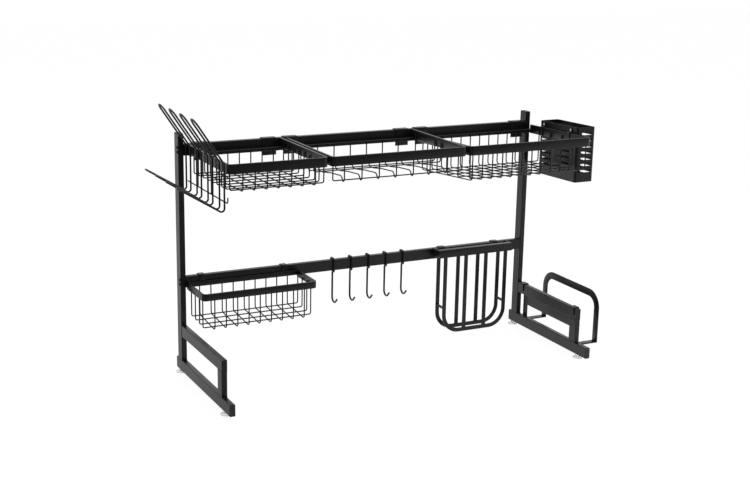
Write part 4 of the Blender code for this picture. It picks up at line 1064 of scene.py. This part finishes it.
class RACK_OT_utensil_box(PieceOperator, bpy.types.Operator):
    """The slotted utensil box, its two hooks and their rivets"""

    bl_idname = "rack.utensil_box"
    bl_label = "Utensil box"

    def build(self, context):
        basket = right_basket()
        right = BOX_LEFT + BOX_WIDE
        ends = at_origin((BOX_LEFT, BOX_FRONT, BOX_TOP - BOX_HIGH), (right, BOX_REAR, BOX_TOP))
        shell = bar("shell", *ends, 2, BOX_RADIUS, 8)
        with shaping(shell) as work:
            pick(shell, work, work.faces, lambda face: face.normal.z > FACING)
            bpy.ops.mesh.inset(thickness=BOX_WALL, depth=0)
            bpy.ops.mesh.extrude_region_move(TRANSFORM_OT_translate={"value": (0, 0, BOX_WALL - BOX_HIGH)})
        turned_outward(shell)
        cutters = []
        middle = (BOX_LEFT + right) / 2
        for row in range(context.scene.rack_sizes.slot_rows):
            level = BOX_TOP - SLOT_TOP - SLOT_PITCH * row
            for inset in SIDE_SLOT_INSETS:
                # The near wall has no slots beside its hooks, and the far wall's rows lie half a step lower
                if row:
                    near = self.slot(BOX_REAR - inset, level, SIDE_SLOT)
                    cutters.append(plate("slot", near, BOX_LEFT - OVERRUN, middle, "YZ"))
                far = self.slot(BOX_FRONT + inset, level - SLOT_PITCH / 2, SIDE_SLOT)
                cutters.append(plate("slot", far, middle, right + OVERRUN, "YZ"))
            outline = swapped(self.slot(middle, level, FRONT_SLOT))
            cutters.append(plate("slot", outline, BOX_FRONT - OVERRUN, BOX_REAR + OVERRUN, "ZX"))
        cutter = joined("slots", *cutters)
        modified(shell, "BOOLEAN", operation="DIFFERENCE", object=cutter, solver="EXACT", use_self=True)
        bpy.data.objects.remove(cutter)
        item = joined("Utensil_Box_Shell", basket.drooped(shell))
        fitted(item, "utensil_box", "Utensil_Box", edge=BOX_EDGE, segments=1)
        self.add_hooks(basket)

    def slot(self, middle, level, length):
        """A round-ended slot's outline, its ends a hair short of half circles so that no two points meet."""
        end = SLOT_HIGH / 2
        half = length / 2
        return rectangle(middle - half, level - end, middle + half, level + end, end - 0.00001, 5)

    def add_hooks(self, basket):
        """Narrow sheet hooks over the basket's bar, each riveted to the box's near wall."""
        inside, outside = RIGHT_BASKET_RIGHT - RIM_THICK - SEAT, BOX_LEFT - SEAT
        face = RIGHT_BASKET_RIGHT + SEAT
        top = TOP_RAIL_TOP + SEAT
        path = [(inside, TOP_RAIL_TOP - HOOK_PLATE_DROP), (inside, top), (outside, top),
                (outside, TOP_RAIL_TOP + BOX_HOOK_RISE)]
        outline = swapped(strip(softened(path, [0, SHEET_BEND, BOX_HOOK_BEND, 0], 5), -HOOK_PLATE_SHEET))
        level = TOP_RAIL_TOP + HOOK_PLATE_SHEET + RIVET_HEAD + 3 * SEAT
        reach = BOX_LEFT + BOX_WALL - face
        profile = [(AXIS, RIVET_HEAD_HIGH)]
        for step in range(1, 9):
            angle = radians(11 * step)
            profile.append((RIVET_HEAD * sin(angle), max(RIVET_HEAD_HIGH * cos(angle), SEAT)))
        profile += [(RIVET_HEAD, SEAT), (RIVET_SHANK, SEAT), (RIVET_SHANK, -reach), (AXIS, -reach)]
        half = BOX_HOOK_WIDE / 2
        for end, y in (("Rear", BOX_REAR - REAR_RIVET_INSET), ("Front", BOX_FRONT + FRONT_RIVET_INSET)):
            item = basket.drooped(plate(f"Utensil_Box_Hanger_{end}", outline, y - half, y + half, "ZX"))
            fitted(item, "utensil_box", f"Utensil_Box_Hook_{end}", edge=SHEET_EDGE)
            pin = spun(f"Utensil_Box_Rivet_{end}_Pin", profile, (face, y, level), (-1, 0, 0), 24)
            fitted(basket.drooped(pin), "utensil_box", f"Utensil_Box_Rivet_{end}", finish="rivet_steel")


class RACK_OT_s_hooks(PieceOperator, bpy.types.Operator):
    """Loose S-hooks on the middle rail"""

    bl_idname = "rack.s_hooks"
    bl_label = "S-hooks"

    def build(self, context):
        radius = context.scene.rack_sizes.hook_diameter / 2
        front, middle, back = -SEAT - radius, TUBE_THIN / 2, TUBE_THIN + SEAT + radius
        top = MID_RAIL_TOP + SEAT + radius
        under = MID_RAIL_TOP - TUBE_WIDE - SEAT - radius
        level = HOOK_BOTTOM + HOOK_CURL + radius
        for i, x in enumerate(spread(HOOK_LEFT, HOOK_RIGHT, HOOK_COUNT)):
            corners = [(x, back, MID_RAIL_TOP - HOOK_TAIL), (x, back, top), (x, front, top),
                       (x, front, under), (x, middle, under), (x, middle, level)]
            path = softened(corners, HOOK_BENDS)
            for step in range(1, CURL_STEPS + 1):
                angle = HOOK_TURN * step / CURL_STEPS
                path.append((x, middle - HOOK_CURL + HOOK_CURL * cos(angle), level - HOOK_CURL * sin(angle)))
            end = path[-1]
            path.append((x, end[1] - HOOK_TIP * sin(HOOK_TURN), end[2] - HOOK_TIP * cos(HOOK_TURN)))
            item = wires(f"S_Hook_{i + 1}_Wire", [path], radius)
            round_tips(item, radius, (path[0], path[-1]))
            fitted(item, f"s_hook_{i + 1}", f"S_Hook_{i + 1}", finish="satin_black_wire")


class RACK_OT_board_holder(PieceOperator, bpy.types.Operator):
    """Two combs of flat bar under a top frame that hangs on the middle rail"""

    bl_idname = "rack.board_holder"
    bl_label = "Board holder"

    def build(self, context):
        edge = context.scene.rack_sizes.bar_edge
        top = MID_RAIL_TOP + BOARD_TOP_RISE
        low = top - BOARD_BAR_HIGH
        back, behind = -SEAT, -SEAT - BOARD_SHEET
        front, inner = BOARD_FRONT, BOARD_FRONT + BOARD_BAR_DEEP
        lap = BOARD_SHEET / 2
        pieces = [
            block("front", *at_origin((BOARD_LEFT, front, low), (BOARD_RIGHT, inner, top))),
            block("rear", *at_origin((BOARD_LEFT, behind, low), (BOARD_RIGHT, back, MID_RAIL_TOP))),
        ]
        for x in (BOARD_LEFT, BOARD_RIGHT - BOARD_SHEET):
            ends = at_origin((x, inner - lap, low), (x + BOARD_SHEET, behind + lap, top))
            pieces.append(block("side", *ends))
        for item in pieces:
            rolled(item, edge)
        for x in (BOARD_LEFT + BOARD_TAB_INSET, BOARD_RIGHT - BOARD_TAB_INSET):
            pieces.append(clip(MID_RAIL_TOP, low + lap, BOARD_TAB_TAIL, x, BOARD_TAB_WIDE))
        item = joined("Board_Holder_Crown", *pieces)
        fitted(item, "board_holder", "Board_Holder_Top_Frame")

        rear_comb = behind - SEAT
        for side, y, shares in (("Rear", rear_comb, BOARD_REAR_SHARES), ("Front", front, BOARD_FRONT_SHARES)):
            outline = swapped(self.comb(low - SEAT, shares))
            item = plate(f"Board_Holder_{side}_Comb", outline, y, y + BOARD_SHEET, "ZX")
            fitted(item, "board_holder", f"Board_Holder_{side}_Loop", edge=edge)
        self.add_spacers(front + BOARD_SHEET + SEAT, rear_comb - SEAT)

    def add_spacers(self, start, end):
        """A pin at each side that keeps the combs apart, with a collar at each of its ends."""
        inset = BOARD_LOOP_INSET + BOARD_FLAT / 2
        length, thick = end - start, BOARD_SPACER
        thin = thick - 0.0004
        chamfer = thick - 0.0003
        profile = [(AXIS, 0), (chamfer, 0), (thick, 0.0003), (thick, 0.003), (thin, 0.0036),
                   (thin, length - 0.0036), (thick, length - 0.003), (thick, length - 0.0003),
                   (chamfer, length), (AXIS, length)]
        for side, x in (("Left", BOARD_LEFT + inset), ("Right", BOARD_RIGHT - inset)):
            pin = spun(f"Board_Holder_Pin_{side}", profile, (x, start, BOARD_SPACER_LEVEL), (0, 1, 0), 24)
            fitted(pin, "board_holder", f"Board_Holder_Spacer_{side}")

    def comb(self, top, shares):
        """A U of flat bar with two more uprights, seen from the front."""
        left, right = BOARD_LEFT + BOARD_LOOP_INSET, BOARD_RIGHT - BOARD_LOOP_INSET
        foot_level, radius = BOARD_CLEARANCE, BOARD_RADIUS
        floor, inner = foot_level + BOARD_FLAT, radius - BOARD_FLAT
        corners = [(left, top, 0), (left, foot_level, radius), (right, foot_level, radius)]
        corners += [(right, top, 0), (right - BOARD_FLAT, top, 0), (right - BOARD_FLAT, floor, inner)]
        for share in shares[::-1]:
            x = left + (right - left) * share
            for side in (1, -1):
                rows = [(x + side * BOARD_FLAT / 2, floor, 0), (x + side * BOARD_FLAT / 2, top, 0)]
                corners += rows[::side]
        corners += [(left + BOARD_FLAT, floor, inner), (left + BOARD_FLAT, top, 0)]
        outline = [(x, z) for x, z, _ in corners]
        return softened(outline, [bend for _, _, bend in corners], 2 * ARC_STEPS, closed=True)


class RACK_OT_lid_holder(PieceOperator, bpy.types.Operator):
    """A tall loop of flat bar beside the right leg, hooked over its side bar"""

    bl_idname = "rack.lid_holder"
    bl_label = "Lid holder"

    def build(self, context):
        edge = context.scene.rack_sizes.bar_edge
        rear, front, bottom, top = LID_REAR, LID_FRONT, LID_BOTTOM, LID_TOP
        near = POST_OUTER + SEAT
        arch = softened([(rear, bottom), (rear, top), (front, top), (front, bottom)],
                        [0, LID_RADIUS, LID_RADIUS, 0], 2 * ARC_STEPS)
        pieces = [plate("arch", strip(arch, -LID_FLAT), LID_OUTER - LID_SHEET, LID_OUTER, "YZ")]
        for y in (rear - LID_FLAT, front):
            pieces.append(block("arm", *at_origin(
                (near + LID_HOOK_SHEET + SEAT, y + SEAT, bottom + SEAT),
                (LID_OUTER - LID_SHEET / 2, y + LID_FLAT - SEAT, bottom + LID_SHEET))))
        for item in pieces:
            rolled(item, edge)
        fitted(joined("Lid_Holder_Arch", *pieces), "lid_holder", "Lid_Holder_Loop")

        inner = POST_INNER - SEAT
        level = SIDE_BAR_TOP + SEAT
        path = [(near, bottom), (near, level), (inner, level), (inner, SIDE_BAR_TOP - LID_TAIL)]
        outline = swapped(strip(softened(path, SHEET_BEND, 4), LID_HOOK_SHEET))
        for end, y in (("Rear", rear - LID_FLAT), ("Front", front)):
            item = plate(f"Lid_Holder_Strap_{end}", outline, y, y + LID_FLAT, "ZX")
            fitted(item, "lid_holder", f"Lid_Holder_Hook_{end}", edge=LID_HOOK_EDGE)
        low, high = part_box("Lid_Holder_Crossbar")
        item = block("Lid_Holder_Flat", low, high)
        fitted(item, "lid_holder", "Lid_Holder_Crossbar", edge=edge, segments=3)


# Stage

class RACK_OT_stage(PieceOperator, bpy.types.Operator):
    """The camera, the white floor and the even studio light"""

    bl_idname = "rack.stage"
    bl_label = "Camera, floor and light"

    def build(self, context):
        settings = context.scene.rack_stage
        context.scene.view_settings.view_transform = "Standard"
        self.add_camera(context)
        self.add_floor(settings.floor_size)
        self.add_softbox("Top_Softbox", (0.1, -0.1, 2.3), (0.1, -0.1, 0.0), 2.6, settings.top_light)
        self.add_softbox("Side_Softbox", (-2.6, 0.6, 1.3), (0.0, 0.0, 0.3), 1.8, settings.side_light)
        self.add_room(context, settings.room_light)

    def add_camera(self, context):
        """The photograph's camera at its place and turn."""
        yaw, pitch, roll = CAMERA_YAW, CAMERA_PITCH, CAMERA_ROLL
        right = Vector((cos(yaw), sin(yaw), 0))
        ahead = Vector((-sin(yaw), cos(yaw), 0))
        forward = ahead * cos(pitch) - Vector((0, 0, sin(pitch)))
        up = ahead * sin(pitch) + Vector((0, 0, cos(pitch)))
        across = right * cos(roll) + up * sin(roll)
        upward = up * cos(roll) - right * sin(roll)
        data = bpy.data.cameras.new("Photo_Camera")
        data.lens = CAMERA_LENS
        data.sensor_width = 36.0
        item = linked(bpy.data.objects.new("Photo_Camera", data))
        turn = Matrix((across, upward, -forward)).transposed().to_4x4()
        item.matrix_world = Matrix.Translation(ORIGIN + Vector(CAMERA_PLACE)) @ turn
        context.scene.camera = item

    def add_softbox(self, name, place, target, size, power):
        data = bpy.data.lights.new(name, "AREA")
        data.size = size
        data.energy = power
        item = linked(bpy.data.objects.new(name, data))
        item.location = place
        item.rotation_euler = (Vector(target) - Vector(place)).to_track_quat("-Z", "Y").to_euler()

    def rays(self, nodes):
        """Whether a ray comes from the camera, from a reflection or through the clear feet."""
        kinds = ("Is Camera Ray", "Is Glossy Ray", "Is Transmission Ray")
        return [nodes.add("LightPath", output=kind) for kind in kinds]

    def toward(self, nodes, place, way):
        """How far a place or a direction lies along a way."""
        values = {0: place, 1: way}
        return nodes.add("VectorMath", {"operation": "DOT_PRODUCT"}, values, output="Value")

    def add_floor(self, size):
        item = added("Studio_Floor", bpy.ops.mesh.primitive_grid_add, x_subdivisions=8, y_subdivisions=8,
                     size=size, location=(0, 0, 0))
        low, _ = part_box("Left_Front_Foot")
        for vertex in item.data.vertices:
            vertex.co.z = low.z
        made = bpy.data.materials.new("white_floor")
        nodes = emptied(made)
        camera, glossy, through = self.rays(nodes)
        place = nodes.add("TexCoord", output="Object")
        tone = nodes.blend(nodes.noise(place, 3.0), (0.86, 0.86, 0.86, 1), (0.90, 0.90, 0.90, 1))
        lit = nodes.add("BsdfDiffuse", None, {"Color": tone})
        # The camera sees white with a faint shadow, and reflections see the floor's glow with a painted shade
        # that dims it toward the front left
        faint = nodes.add("BsdfDiffuse", None, {"Color": (0.12, 0.12, 0.12, 1)})
        white = nodes.add("Emission", None, {"Color": (1, 1, 1, 1), "Strength": 0.92})
        shown = nodes.add("AddShader", None, {0: faint, 1: white})
        # Painted shade: the glow that reflections see falls from white to a fifth toward the front left
        share = nodes.between(self.toward(nodes, place, (0.715, 0.70, 0)), -0.87, 0.05)
        tint = nodes.blend(share, (0.20, 0.20, 0.20, 1), (1, 1, 1, 1))
        painted_floor_reflection = nodes.add("Emission", None, {"Color": tint, "Strength": 1.0})
        clear = nodes.add("Emission", None, {"Color": (1, 1, 1, 1), "Strength": 1.0})
        mixed = lit
        for kind, look in ((camera, shown), (glossy, painted_floor_reflection), (through, clear)):
            mixed = nodes.add("MixShader", None, {0: kind, 1: mixed, 2: look})
        nodes.add("OutputMaterial", None, {"Surface": mixed})
        item.data.materials.append(made)

    def add_room(self, context, strength):
        """White wherever the camera looks, and an even light for everything else."""
        world = bpy.data.worlds.new("Studio_Room")
        nodes = emptied(world)
        camera, glossy, through = self.rays(nodes)
        behind = self.toward(nodes, nodes.add("TexCoord", output="Generated"), (0.57, 0.77, 0.28))
        # The wall behind the rack is lit, and the room on the camera's side is dimmer
        reflected = nodes.between(behind, -0.6, 0.7, 0.08, 1.0)
        level = nodes.add("Mix", {"data_type": "FLOAT"}, {0: glossy, 2: strength, 3: reflected})
        shown = nodes.add("Math", {"operation": "MAXIMUM"}, {0: camera, 1: through})
        level = nodes.add("Mix", {"data_type": "FLOAT"}, {0: shown, 2: level, 3: 1.0})
        light = nodes.add("Background", None, {"Color": (1, 1, 1, 1), "Strength": level})
        nodes.add("OutputWorld", None, {"Surface": light})
        context.scene.world = world


OPERATORS = (
    RACK_OT_stage, RACK_OT_frame_tubes, RACK_OT_caps_and_feet, RACK_OT_bolts, RACK_OT_baskets,
    RACK_OT_plate_rack, RACK_OT_utensil_box, RACK_OT_s_hooks, RACK_OT_board_holder, RACK_OT_lid_holder,
)


class RACK_PT_pieces(bpy.types.Panel):
    """Lists the rack's pieces and its settings"""

    bl_idname = "RACK_PT_pieces"
    bl_label = "Over-sink dish rack"
    bl_space_type = "VIEW_3D"
    bl_region_type = "UI"
    bl_category = "Dish Rack"

    def draw(self, context):
        layout = self.layout
        for operator in OPERATORS:
            layout.operator(operator.bl_idname)
        for group in (context.scene.rack_sizes, context.scene.rack_finishes, context.scene.rack_stage):
            box = layout.box()
            for name in group.__annotations__:
                box.prop(group, name)


CLASSES = (RackSizes, RackFinishes, RackStage, *OPERATORS, RACK_PT_pieces)


def register():
    for item in CLASSES:
        bpy.utils.register_class(item)
    bpy.types.Scene.rack_sizes = PointerProperty(type=RackSizes)
    bpy.types.Scene.rack_finishes = PointerProperty(type=RackFinishes)
    bpy.types.Scene.rack_stage = PointerProperty(type=RackStage)


def unregister():
    del bpy.types.Scene.rack_sizes
    del bpy.types.Scene.rack_finishes
    del bpy.types.Scene.rack_stage
    for item in reversed(CLASSES):
        bpy.utils.unregister_class(item)


def main():
    register()
    for operator in OPERATORS:
        group, name = operator.bl_idname.split(".")
        getattr(getattr(bpy.ops, group), name)()


if __name__ == "__main__":
    main()
